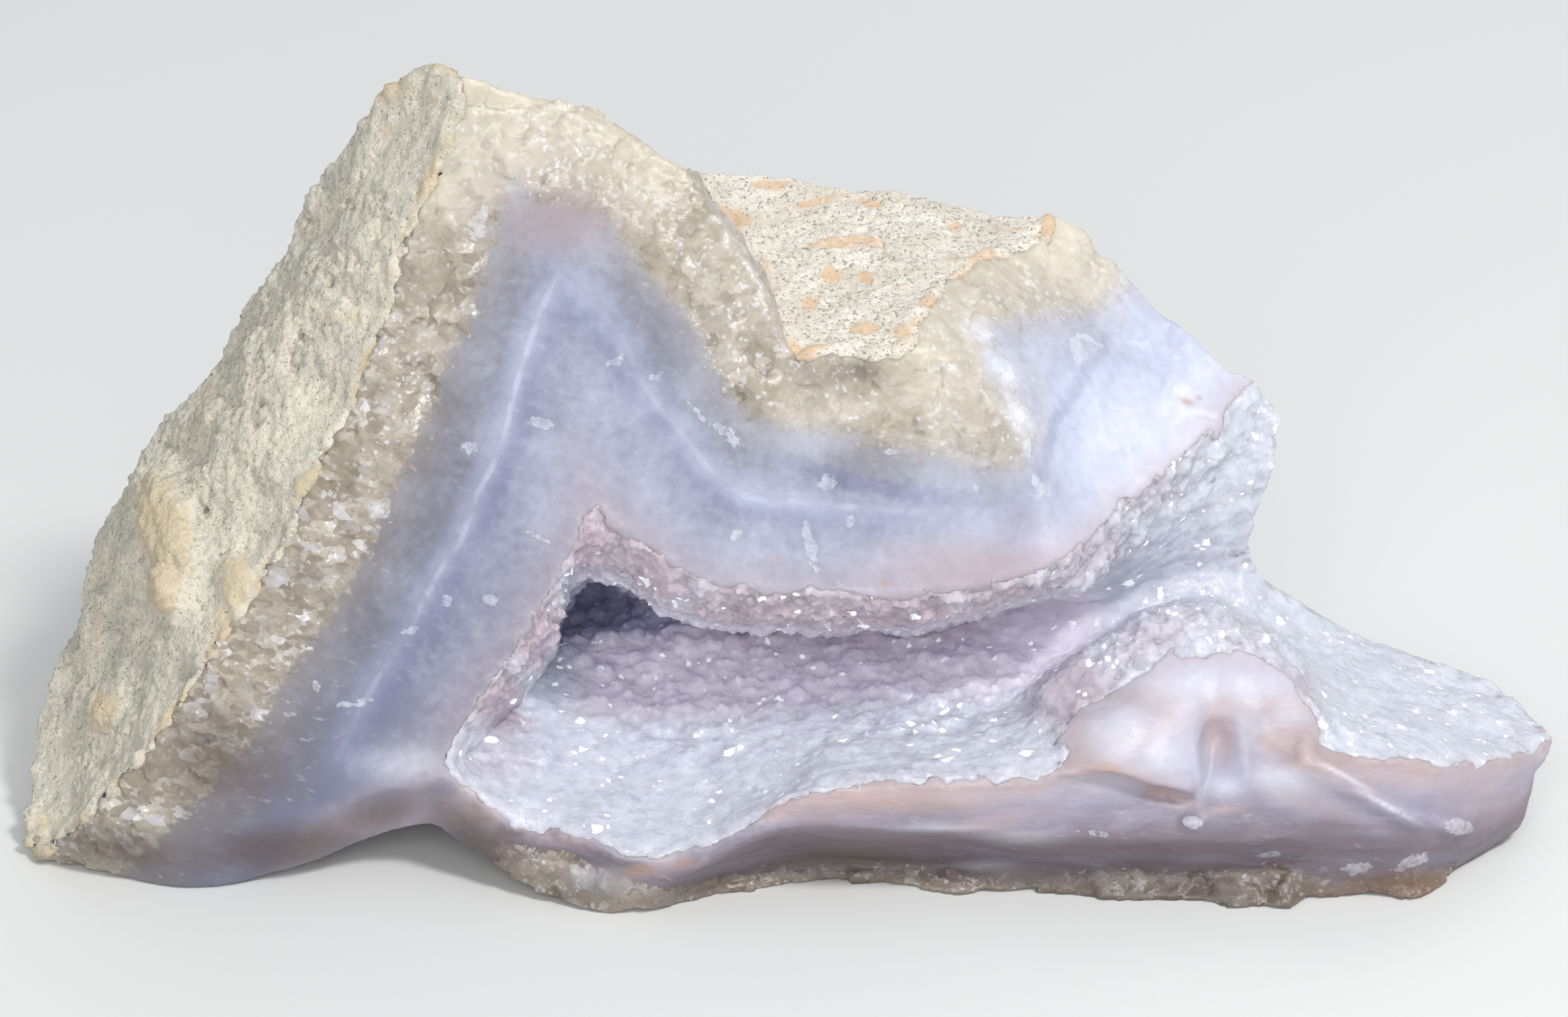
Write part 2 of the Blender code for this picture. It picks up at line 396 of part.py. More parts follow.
def rough_stone():
    # The stone's main facets, a front and a back that share the outline. Every edge on a
    # drawn line is marked, and every face gets the number of the piece that it is on.
    outline = drawn(
        SIDE_ROCK_SKYLINE[:-1] + PEAK_SKYLINE + TOP_ROCK_SKYLINE[:-1] + SHOULDER_SKYLINE[:-1]
        + CRYSTAL_SKYLINE[:-1] + TAIL_END + SHELF_FOOT + LEG_FOOT)
    front_lines = [drawn(line) for line in (
        SIDE_ROCK_EDGE, SIDE_ROCK_BEND, LEG_UNDER_EDGE, LEG_CHIP, RIGHT_CREASE, TOP_ROCK_FRONT,
        PEAK_FLANK, PEAK_FLANK_FOOT, CRYSTALS_BESIDE_LEG, CRYSTALS_OVER_HOLLOW, HOLLOW_RIM,
        INSIDE_RIM, POCKET_SILL, SHELF_LIP, SHELF_RIM, SHELF_UNDERCUT, MOUND_CREST, BEHIND_CREST,
        MOUND_CRYSTAL_EDGE, TAIL_LIP, NODULE_UNDER_EDGE, NODULE_STEP, LEDGE, ABOVE_LEDGE)]
    front_points = drawn(
        FRONT_FACE_POINTS + RIGHT_FACET_POINTS + TOP_ROCK_POINTS + POCKET_POINTS
        + HOLLOW_WALL_POINTS + FLOOR_POINTS + MOUND_FRONT_POINTS)
    side_back = drawn(SIDE_ROCK_SKYLINE[:-4:-1]) + placed(SIDE_ROCK_BACK) + drawn(SIDE_ROCK_SKYLINE[:1])
    top_back = drawn([TOP_ROCK_SKYLINE[0]]) + placed(TOP_ROCK_BACK) + drawn([TOP_ROCK_SKYLINE[-1]])
    back_lines = [placed(BACK_FOOT_EDGE), side_back, top_back]
    halves = [
        shell(outline, front_lines, front_points, -OUTLINE_SWELL),
        shell(outline, back_lines, placed(BACK_POINTS + UNDERSIDE_POINTS), OUTLINE_SWELL),
    ]

    mesh = bmesh.new()
    marked = mesh.edges.layers.int.new("drawn")
    shared = {spot: mesh.verts.new(place) for spot, place in outline}
    halves_verts = []
    for turned, (places, corners) in enumerate(halves):
        verts = dict(shared)
        for spot, place in places.items():
            if spot not in shared:
                verts[spot] = mesh.verts.new(place)
        for corner in corners:
            mesh.faces.new([verts[spot] for spot in (corner[::-1] if turned else corner)])
        halves_verts.append(verts)
    for verts, lines in zip(halves_verts, ([outline + outline[:1], *front_lines], back_lines)):
        for line in lines:
            for (a, _), (b, _) in zip(line, line[1:]):
                mesh.edges.get((verts[a], verts[b]))[marked] = 1

    mesh.normal_update()
    front, back = halves_verts
    borders = {
        SIDE_ROCK: [(front, drawn(SIDE_ROCK_EDGE)), (back, side_back)],
        TOP_ROCK: [(front, drawn(TOP_ROCK_FRONT)), (front, drawn(PEAK_FLANK_FOOT)), (back, top_back)],
        CRYSTALS: [(front, drawn(line)) for line in (
            CRYSTALS_BESIDE_LEG, CRYSTALS_OVER_HOLLOW, CRYSTAL_SKYLINE, TAIL_LIP,
            MOUND_CRYSTAL_EDGE, SHELF_LIP)],
    }
    for piece, lines in borders.items():
        border = set()
        for verts, line in lines:
            border |= {mesh.edges.get((verts[a[0]], verts[b[0]])) for a, b in zip(line, line[1:])}
        spread(mesh, border, Vector(INSIDE_OF[piece]), piece)
    return mesh


def spread(mesh, border, spot, piece):
    # Give the piece's number to all the faces around a spot of the sheet, up to the border
    first = min(
        (face for face in mesh.faces if face.normal.dot(FORWARD) < 0),
        key=lambda face: (seen(face.calc_center_median()) - spot).length)
    found = {first}
    waiting = [first]
    while waiting:
        for edge in waiting.pop().edges:
            if edge not in border:
                for face in edge.link_faces:
                    if face not in found:
                        found.add(face)
                        waiting.append(face)
    for face in found:
        face.material_index = piece


def refine(mesh):
    # Split the long edges and even the triangles out, and leave the drawn lines where they are
    marked = mesh.edges.layers.int["drawn"]
    for _ in range(REFINE_ROUNDS):
        long = [edge for edge in mesh.edges if edge.calc_length() > longest_edge(edge)]
        bmesh.ops.subdivide_edges(mesh, edges=long, cuts=1)
        bmesh.ops.triangulate(mesh, faces=[face for face in mesh.faces if len(face.verts) > 3])
        free = [edge for edge in mesh.edges if not edge[marked] and is_flat(edge)]
        bmesh.ops.beautify_fill(mesh, faces=mesh.faces[:], edges=free, method="ANGLE")
        relax(mesh, marked)


def is_flat(edge):
    face, other = edge.link_faces
    return face.normal.dot(other.normal) > FLAT_ENOUGH


def longest_edge(edge):
    hidden = any(face.normal.dot(FORWARD) > HIDDEN_FACING for face in edge.link_faces)
    piece = max(face.material_index for face in edge.link_faces)
    return (HIDDEN_EDGE_LENGTHS if hidden else EDGE_LENGTHS)[piece]


def relax(mesh, marked):
    mesh.normal_update()
    moved = []
    for vert in mesh.verts:
        if not any(edge[marked] for edge in vert.link_edges):
            neighbours = [edge.other_vert(vert).co for edge in vert.link_edges]
            step = sum(neighbours, Vector()) / len(neighbours) - vert.co
            lift = vert.normal * step.dot(vert.normal)
            moved.append((vert, vert.co + EVENING * (step - lift) + ROUNDING * lift))
    for vert, place in moved:
        vert.co = place


def wave(place, size):
    # Unevenness from -1 to 1 of about that width
    return 2 * noise.noise(place / size * WAVES_PER_WIDTH)


def roughen(mesh):
    # Uneven broken and weathered surfaces, with lumps and pits on the rocks
    mesh.normal_update()
    marked = mesh.edges.layers.int["drawn"]
    contacts = [stand(p) for p in SIDE_ROCK_EDGE + TOP_ROCK_FRONT + PEAK_FLANK]
    moves = []
    for vert in mesh.verts:
        pieces = {face.material_index for face in vert.link_faces}
        rough = ROUGHNESS[max(pieces)]
        if max(face.normal.dot(FORWARD) for face in vert.link_faces) > HIDDEN_ROUGHNESS_FACING:
            rough = HIDDEN_ROUGHNESS
        elif pieces == {AGATE} and min((c - vert.co).length for c in contacts) < MARGIN_WIDTH:
            rough = MARGIN_ROUGHNESS
        rise = sum(height * wave(vert.co + PATTERN_START + PATTERN_STEP * i, width)
                   for i, (height, width) in enumerate(rough))
        if pieces & {SIDE_ROCK, TOP_ROCK} and vert.normal.dot(FORWARD) < 0:
            spot = seen(vert.co)
            for across, up, half_width, half_height, lump in LUMPS:
                away = math.hypot((spot.x - across) / half_width, (spot.y - up) / half_height)
                rise += lump * math.exp(-away ** 4)
        if any(edge[marked] for edge in vert.link_edges):
            rise *= DRAWN_LINE_ROUGHNESS
        moves.append(vert.co + vert.normal * rise)
    for vert, place in zip(mesh.verts, moves):
        vert.co = place
        vert.co.z = max(place.z, FOOT_LEVEL)
    mesh.normal_update()


def smooth_normals(mesh):
    normals = {vert: vert.normal.copy() for vert in mesh.verts}
    for _ in range(2):
        normals = {
            vert: (sum((normals[edge.other_vert(vert)] for edge in vert.link_edges), normals[vert] * 2)
                   ).normalized()
            for vert in mesh.verts
        }
    return normals


def clear_way(tree, place, direction):
    # How far it is from a place on the surface to the next surface that way
    hit = tree.ray_cast(place + direction * LOOK_START, direction)
    return hit[3] if hit[0] else NOTHING_THERE


def crystal_tip(places, normal, tree, random):
    # The point of a crystal that stands on three corners, lower where it would touch others
    middle = sum(places, Vector()) / 3
    lean = (places[random.randrange(3)] - middle) * CRYSTAL_LEAN * random.random()
    rise = CRYSTAL_HEIGHT * random.uniform(*CRYSTAL_VARIATION)
    for share in CRYSTAL_SHARES:
        tip = middle + (lean + normal * rise) * share
        if tree.find_nearest(tip)[3] > CRYSTAL_CLEARANCE * rise * share:
            return tip
    return middle


def layer_depths(piece, verts, normals, rim_tree, tree):
    # How deep the layer goes under each of its corners: least at its rim, never more than a
    # share of the stone there, and without sudden steps
    depths = {}
    for vert in sorted(verts, key=lambda vert: vert.index):
        ways = [(vert.co, -normals[vert])]
        ways += [(face.calc_center_median(), -face.normal) for face in vert.link_faces]
        stone = min(clear_way(tree, place, down) for place, down in ways)
        depth = RIM_THICKNESS[piece] + THICKENING * rim_tree.find(vert.co)[2]
        depths[vert] = min(depth, FULL_THICKNESS[piece], SHARE_OF_STONE * stone)
    for _ in range(DEPTH_ROUNDS):
        for vert in depths:
            for edge in vert.link_edges:
                other = depths.get(edge.other_vert(vert))
                if other is not None:
                    depths[vert] = min(depths[vert], other + THICKENING * edge.calc_length())
    return depths


class Solid:
    # Corners and faces of one closed piece, with each corner stored once under its key
    def __init__(self):
        self.corners = {}
        self.faces = []

    def add(self, keys, places):
        for key, place in zip(keys, places):
            self.corners.setdefault(key, place.copy())
        self.faces.append(keys)

    def mesh(self, name):
        numbers = {key: i for i, key in enumerate(self.corners)}
        faces = [[numbers[key] for key in face] for face in self.faces]
        made = bpy.data.meshes.new(name)
        made.from_pydata(list(self.corners.values()), [], faces)
        made.validate()
        return made


def peel(mesh):
    # Part the stone into the agate and the layers on it. A layer goes from the surface down
    # to its depth, and the agate starts a gap deeper and keeps a wall around each layer.
    normals = smooth_normals(mesh)
    tree = BVHTree.FromBMesh(mesh)
    random = Random(CRYSTAL_SEED)
    solids = {piece: Solid() for piece in PIECE_NAMES}
    agate = solids[AGATE]
    for face in mesh.faces:
        if face.material_index == AGATE:
            agate.add([(vert.index, AGATE) for vert in face.verts], [vert.co for vert in face.verts])

    for piece in (SIDE_ROCK, TOP_ROCK, CRYSTALS):
        layer = solids[piece]
        faces = [face for face in mesh.faces if face.material_index == piece]
        own = set(faces)
        verts = {vert for face in faces for vert in face.verts}
        rim = [edge for edge in mesh.edges if sum(face in own for face in edge.link_faces) == 1]
        rim_verts = {vert for edge in rim for vert in edge.verts}
        rim_tree = KDTree(len(rim_verts))
        for vert in rim_verts:
            rim_tree.insert(vert.co, vert.index)
        rim_tree.balance()

        depths = layer_depths(piece, verts, normals, rim_tree, tree)
        top, bottom, bed = {}, {}, {}
        for vert, depth in depths.items():
            down = -normals[vert]
            place = vert.co.copy()
            if vert in rim_verts:
                inward = sum((face.calc_center_median() - vert.co
                              for face in vert.link_faces if face in own), Vector())
                inward -= down * inward.dot(down)
                place += inward.normalized() * RIM_SETBACK
            top[vert] = place
            bottom[vert] = place + down * depth
            bed[vert] = vert.co + down * (depth + CONTACT_GAP)

        for face in faces:
            keys = [(vert.index, piece) for vert in face.verts]
            agate.add(keys, [bed[vert] for vert in face.verts])
            places = [top[vert] for vert in face.verts]
            if piece == CRYSTALS and face.calc_area() > SMALLEST_CRYSTAL:
                tip = crystal_tip(places, face.normal, tree, random)
                for i in range(3):
                    ring = [(keys[i], "top"), (keys[(i + 1) % 3], "top"), (face.index, "tip")]
                    layer.add(ring, [places[i], places[(i + 1) % 3], tip])
            else:
                layer.add([(key, "top") for key in keys], places)
            below = [bottom[vert] for vert in face.verts]
            layer.add([(key, "bottom") for key in keys[::-1]], below[::-1])
        for edge in rim:
            face = next(face for face in edge.link_faces if face in own)
            loop = next(loop for loop in face.loops if loop.edge == edge)
            a, b = loop.vert, loop.link_loop_next.vert
            ka, kb = (a.index, piece), (b.index, piece)
            layer.add([(kb, "top"), (ka, "top"), (ka, "bottom")], [top[b], top[a], bottom[a]])
            layer.add([(kb, "top"), (ka, "bottom"), (kb, "bottom")], [top[b], bottom[a], bottom[b]])
            agate.add([(a.index, AGATE), (b.index, AGATE), ka], [a.co, b.co, bed[a]])
            agate.add([(b.index, AGATE), kb, ka], [b.co, bed[b], bed[a]])
    return solids


def material(name, colour, roughness):
    made = bpy.data.materials.new(name)
    made.use_nodes = True
    shader = made.node_tree.nodes["Principled BSDF"]
    shader.inputs["Base Color"].default_value = (*colour, 1)
    shader.inputs["Roughness"].default_value = roughness
    shader.inputs["Metallic"].default_value = 0
    made.diffuse_color = (*colour, 1)
    return made


def build():
    for thing in list(bpy.data.objects):
        bpy.data.objects.remove(thing)
    mesh = rough_stone()
    refine(mesh)
    mesh.verts.index_update()
    mesh.faces.index_update()
    roughen(mesh)
    low = Vector([min(vert.co[i] for vert in mesh.verts) for i in range(3)])
    high = Vector([max(vert.co[i] for vert in mesh.verts) for i in range(3)])
    origin = Vector(((low.x + high.x) / 2, (low.y + high.y) / 2, FOOT_LEVEL))
    to_metres = Matrix.Scale(METRES_PER_MM, 4) @ Matrix.Translation(-origin)
    for piece, solid in peel(mesh).items():
        name = PIECE_NAMES[piece]
        made = solid.mesh(name)
        made.transform(to_metres)
        made.materials.append(material(name, *FINISHES[piece]))
        bpy.context.scene.collection.objects.link(bpy.data.objects.new(name, made))
        print(name, len(made.polygons))
    print("origin", tuple(round(v, 3) for v in origin))


build()
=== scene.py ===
# Blue lace agate: the looks of the stone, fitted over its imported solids.
# Lengths in the dictionaries are millimetres. A spot (across, up) is read on a sheet that
# stands on the ground line in front of the stone, square to the camera's line of sight.
import math

import bmesh
import bpy
import numpy as np
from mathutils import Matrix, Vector, noise
from mathutils.bvhtree import BVHTree
from mathutils.kdtree import KDTree


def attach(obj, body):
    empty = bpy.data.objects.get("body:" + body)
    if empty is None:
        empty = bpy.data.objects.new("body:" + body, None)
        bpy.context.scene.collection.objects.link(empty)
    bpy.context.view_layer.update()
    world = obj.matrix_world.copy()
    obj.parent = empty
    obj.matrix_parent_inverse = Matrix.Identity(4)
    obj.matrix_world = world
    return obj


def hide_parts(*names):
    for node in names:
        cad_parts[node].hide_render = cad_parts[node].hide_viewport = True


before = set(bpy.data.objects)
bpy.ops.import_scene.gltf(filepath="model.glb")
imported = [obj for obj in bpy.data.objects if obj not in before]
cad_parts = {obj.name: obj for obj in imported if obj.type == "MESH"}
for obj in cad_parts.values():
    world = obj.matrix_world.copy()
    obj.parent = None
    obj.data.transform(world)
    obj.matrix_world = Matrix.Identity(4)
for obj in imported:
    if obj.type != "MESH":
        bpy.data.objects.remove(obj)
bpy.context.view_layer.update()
mm = 0.001

# Seeing: where the camera stands, and from there to spots on the stone

view = {
    "lookDown": 28.0, "eyeDistance": 450.0, "sheetCentreUp": 31.3, "sheetWidth": 119.0,
    "partOrigin": (0.431, 23.023, 0.35), "sensorWidth": 36,
}
lookDown = math.radians(view["lookDown"])
forward = Vector((0, math.cos(lookDown), -math.sin(lookDown)))
sheetUp = Vector((0, math.sin(lookDown), math.cos(lookDown)))
partOrigin = Vector(view["partOrigin"])
eye = (sheetUp * view["sheetCentreUp"] - forward * view["eyeDistance"] - partOrigin) * mm


def sheetSpot(across, up):
    return (Vector((across, 0, 0)) + sheetUp * up - partOrigin) * mm


def seenAt(places):
    # Spots on the sheet, in mm, of places in metres
    sight = places - np.array(eye)
    far = view["eyeDistance"] * mm / (sight @ np.array(forward))
    onSheet = np.array(eye) + sight * far[:, None] + np.array(partOrigin) * mm
    return np.stack([onSheet[:, 0], onSheet @ np.array(sheetUp)], 1) / mm


def treeOf(*names):
    verts, faces = [], []
    for name in names:
        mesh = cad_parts[name].data
        start = len(verts)
        verts += [vert.co.copy() for vert in mesh.vertices]
        faces += [[start + i for i in face.vertices] for face in mesh.polygons]
    return BVHTree.FromPolygons(verts, faces)


stoneTree = treeOf("agate", "host_rock_side", "host_rock_top", "quartz_crystals")
agateTree = treeOf("agate")
rockTree = treeOf("host_rock_side", "host_rock_top")
crustTree = treeOf("quartz_crystals")


def onStone(across, up):
    # The place on the stone that shows at a spot; beside the stone, the nearest place to it
    spot = sheetSpot(across, up)
    hit = stoneTree.ray_cast(eye, (spot - eye).normalized())[0]
    return hit or stoneTree.find_nearest(spot + forward * 0.03)[0]


def drawnOnStone(line, step=1.2):
    # Places about every step along a drawn line of spots
    places = []
    for (a, b), (c, d) in zip(line, line[1:]):
        parts = max(1, round(math.hypot(c - a, d - b) / step))
        places += [onStone(a + (c - a) * i / parts, b + (d - b) * i / parts) for i in range(parts)]
    return places + [onStone(*line[-1])]


def softLine(line, steps=14):
    # A soft curve through the spots of a drawn line, with whatever else each spot holds
    spots = np.array([line[0], *line, line[-1]], float)
    curve = []
    for p, q, r, s in zip(spots, spots[1:], spots[2:], spots[3:]):
        for t in np.linspace(0, 1, steps, endpoint=False):
            curve.append((2 * q + (r - p) * t + (2 * p - 5 * q + 4 * r - s) * t ** 2
                          + (3 * q - p - 3 * r + s) * t ** 3) / 2)
    return curve + [spots[-1]]


# Handling objects as by hand

def deselectAll():
    if bpy.context.object and bpy.context.object.mode != "OBJECT":
        bpy.ops.object.mode_set(mode="OBJECT")
    bpy.ops.object.select_all(action="DESELECT")


def pick(piece):
    deselectAll()
    piece.select_set(True)
    bpy.context.view_layer.objects.active = piece


def applied(piece, kind, **settings):
    pick(piece)
    modifier = piece.modifiers.new(kind.title(), kind)
    for name, value in settings.items():
        setattr(modifier, name, value)
    bpy.ops.object.modifier_apply(modifier=modifier.name)


def editing(piece, mode="VERT"):
    pick(piece)
    bpy.ops.object.mode_set(mode="EDIT")
    bpy.ops.mesh.select_mode(type=mode)


def places(piece):
    co = np.zeros(len(piece.data.vertices) * 3)
    piece.data.vertices.foreach_get("co", co)
    return co.reshape(-1, 3)


def facings(piece):
    normals = np.zeros(len(piece.data.vertices) * 3)
    piece.data.vertices.foreach_get("normal", normals)
    return normals.reshape(-1, 3)


def moveTo(piece, co):
    piece.data.vertices.foreach_set("co", co.astype(np.float32).ravel())
    piece.data.update()


def paint(piece, name, values):
    # A value at every vertex, for the materials to read
    attribute = piece.data.attributes.get(name) or piece.data.attributes.new(name, "FLOAT", "POINT")
    attribute.data.foreach_set("value", np.asarray(values, np.float32))


def paintOf(piece, name):
    values = np.zeros(len(piece.data.vertices))
    piece.data.attributes[name].data.foreach_get("value", values)
    return values


def group(piece, name, values):
    # The same as a vertex group, for the modifiers
    made = piece.vertex_groups.new(name=name)
    for i, value in enumerate(np.clip(values, 0, 1)):
        made.add([i], float(value), "REPLACE")


def distanceTo(surface, co):
    return np.array([surface.find_nearest(Vector(p))[3] for p in co]) / mm


def smoothStep(low, high, values):
    t = np.clip((values - low) / (high - low), 0, 1)
    return t * t * (3 - 2 * t)


def thinned(piece, hidden, ratio):
    # Fewer faces where nothing shows
    editing(piece)
    mesh = bmesh.from_edit_mesh(piece.data)
    mesh.verts.ensure_lookup_table()
    for vert in mesh.verts:
        vert.select = bool(hidden[vert.index])
    mesh.select_flush_mode()
    bpy.ops.mesh.decimate(ratio=ratio)
    bpy.ops.object.mode_set(mode="OBJECT")


def triangles(piece):
    return sum(len(face.vertices) - 2 for face in piece.data.polygons)


def settled(piece, node):
    # A finished piece takes its node's place on the stone
    pick(piece)
    bpy.ops.object.shade_smooth()
    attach(piece, "root")
    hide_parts(node)
    print(piece.name, "finished,", triangles(piece), "triangles")


def copied(node, name, sharp=50.0, crease=0.9, rounds=1, dropPoints=False, seams=None):
    # A copy of a node's solid with its facets rounded off. Edges beside the seams stay sharp,
    # and so do those that turn more than sharp degrees
    piece = bpy.data.objects.new(name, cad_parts[node].data.copy())
    bpy.context.scene.collection.objects.link(piece)
    piece.data.materials.clear()
    editing(piece)
    bpy.ops.mesh.select_all(action="SELECT")
    bpy.ops.mesh.customdata_custom_splitnormals_clear()
    bpy.ops.mesh.remove_doubles(threshold=0.00001)
    mesh = bmesh.from_edit_mesh(piece.data)
    if dropPoints:
        for vert in mesh.verts:
            vert.select = len(vert.link_edges) == 3
        mesh.select_flush_mode()
        bpy.ops.mesh.dissolve_verts()
    bpy.ops.mesh.select_mode(type="EDGE")
    bpy.ops.mesh.select_all(action="DESELECT")
    bpy.ops.mesh.edges_select_sharp(sharpness=math.radians(sharp))
    bpy.ops.transform.edge_crease(value=crease)
    if seams:
        bpy.ops.mesh.select_all(action="DESELECT")
        bpy.ops.mesh.edges_select_sharp(sharpness=math.radians(25))
        mesh = bmesh.from_edit_mesh(piece.data)
        for edge in mesh.edges:
            away = max(seams.find_nearest(vert.co)[3] for vert in edge.verts) if edge.select else 1
            edge.select = away < 0.6 * mm
        bpy.ops.transform.edge_crease(value=1)
    bpy.ops.object.mode_set(mode="OBJECT")
    applied(piece, "SUBSURF", levels=rounds, render_levels=rounds)
    return piece


def remeshed(piece, voxel):
    applied(piece, "REMESH", mode="VOXEL", voxel_size=voxel * mm)
    print("remeshed", piece.name, len(piece.data.polygons), "faces")


def sunkIn(piece, deep=0.25):
    # The bed and the rim of a layer reach a little way into the agate around them
    co = places(piece)
    reach = np.array([agateTree.find_nearest(Vector(p))[0] for p in co]) - co
    gap = np.maximum(np.linalg.norm(reach, axis=1), 0.05 * mm)
    towards = smoothStep(0, 0.3, (reach * facings(piece)).sum(1) / gap)
    further = (gap + deep * mm) / gap * towards * (1 - smoothStep(0.45, 0.75, gap / mm))
    moveTo(piece, co + reach * further[:, None])


def grownTogether(name, voxel):
    # The agate and its crust of crystals under one skin
    crust = copied("quartz_crystals", name + "Crust", sharp=70, crease=1.0, rounds=2, dropPoints=True)
    sunkIn(crust)
    whole = copied("agate", name, sharp=38, crease=0.85, rounds=2, seams=crustTree)
    crust.select_set(True)
    bpy.ops.object.join()
    remeshed(whole, voxel)
    return whole


def wander(co, size):
    # Soft chance, from about -0.5 to 0.5, that turns over once every size in mm
    return np.array([noise.noise(Vector(p) / (size * mm)) for p in co])


# Where and how far the crust laps round the right-hand edge of the wall
edgeLap = {"at": (37.5, 35), "reach": (2.5, 5), "lap": 2}


def coverOf(co):
    # How surely a place on that skin belongs to the crust: 0.5 at the ragged line where they meet
    ahead = distanceTo(agateTree, co) - distanceTo(crustTree, co)
    off = (seenAt(co) - edgeLap["at"]) / edgeLap["reach"]
    lap = np.exp(-off[:, 0] ** 2 - off[:, 1] ** 2) * edgeLap["lap"]
    return smoothStep(-1, 1, ahead + lap + wander(co, 1.5) * 0.9 + wander(co, 0.6) * 0.4)


def roomBehind(piece):
    # How much stone is behind each place of a skin: 1 where it is thick, less at a feather edge
    co, normals = places(piece), facings(piece)
    skin = BVHTree.FromPolygons(co.tolist(), [tuple(face.vertices) for face in piece.data.polygons])
    starts = co - normals * 0.1 * mm
    depths = [skin.ray_cast(Vector(p), Vector(-n), 3 * mm)[3] or 3 * mm for p, n in zip(starts, normals)]
    return np.clip((np.array(depths) / mm - 0.3) / 1.7, 0.15, 1)


def texture(name, kind, size, **settings):
    made = bpy.data.textures.new(name, kind)
    made.noise_scale = size * mm
    for key, value in settings.items():
        setattr(made, key, value)
    return made


def roughened(piece, pattern, height, middle=0.5, where=""):
    applied(piece, "DISPLACE", texture=pattern, strength=height * mm, mid_level=middle,
            vertex_group=where, texture_coords="LOCAL")


def finderOf(places):
    finder = KDTree(len(places))
    for i, place in enumerate(places):
        finder.insert(place, i)
    finder.balance()
    return finder


def nearestOf(places, co, count=1):
    # Indices of the nearest places, and how far away they are
    finder = finderOf(places)
    found = [finder.find_n(p, count) for p in co]
    return (np.array([[hit[1] for hit in hits] for hits in found]),
            np.array([[hit[2] for hit in hits] for hits in found]))


def brokenFacets(piece, weights, cell, slope, seed, along=None, stretch=1.0, shelly=False):
    # Slanting facets about a cell wide, as granular stone breaks, or stretched along a way.
    # Shelly facets are shallow bowls that meet in ridges, as chalcedony breaks
    used = np.nonzero(weights > 0.01)[0]
    co, normals = places(piece) / mm, facings(piece)
    chance = np.random.default_rng(seed)
    squeezed = co[used]
    if along is not None:
        squeezed = squeezed - np.outer(squeezed @ along, along) * (1 - 1 / stretch)
    count = max(4, int(len(used) * 0.1 / cell ** 2))
    seeds = squeezed[chance.choice(len(used), count)] + chance.normal(0, cell * 0.2, (count, 3))
    ways = chance.normal(0, 1, (count, 3))
    ways *= slope / np.linalg.norm(ways, axis=1)[:, None]
    nearest, away = nearestOf(seeds, squeezed, 6 if shelly else 1)
    rises = ((squeezed[:, None] - seeds[nearest]) * ways[nearest]).sum(2)
    rise = (rises + shelly * slope / cell * away ** 2).min(1)
    co[used] += normals[used] * (rise * weights[used])[:, None]
    moveTo(piece, co * mm)


# The agate

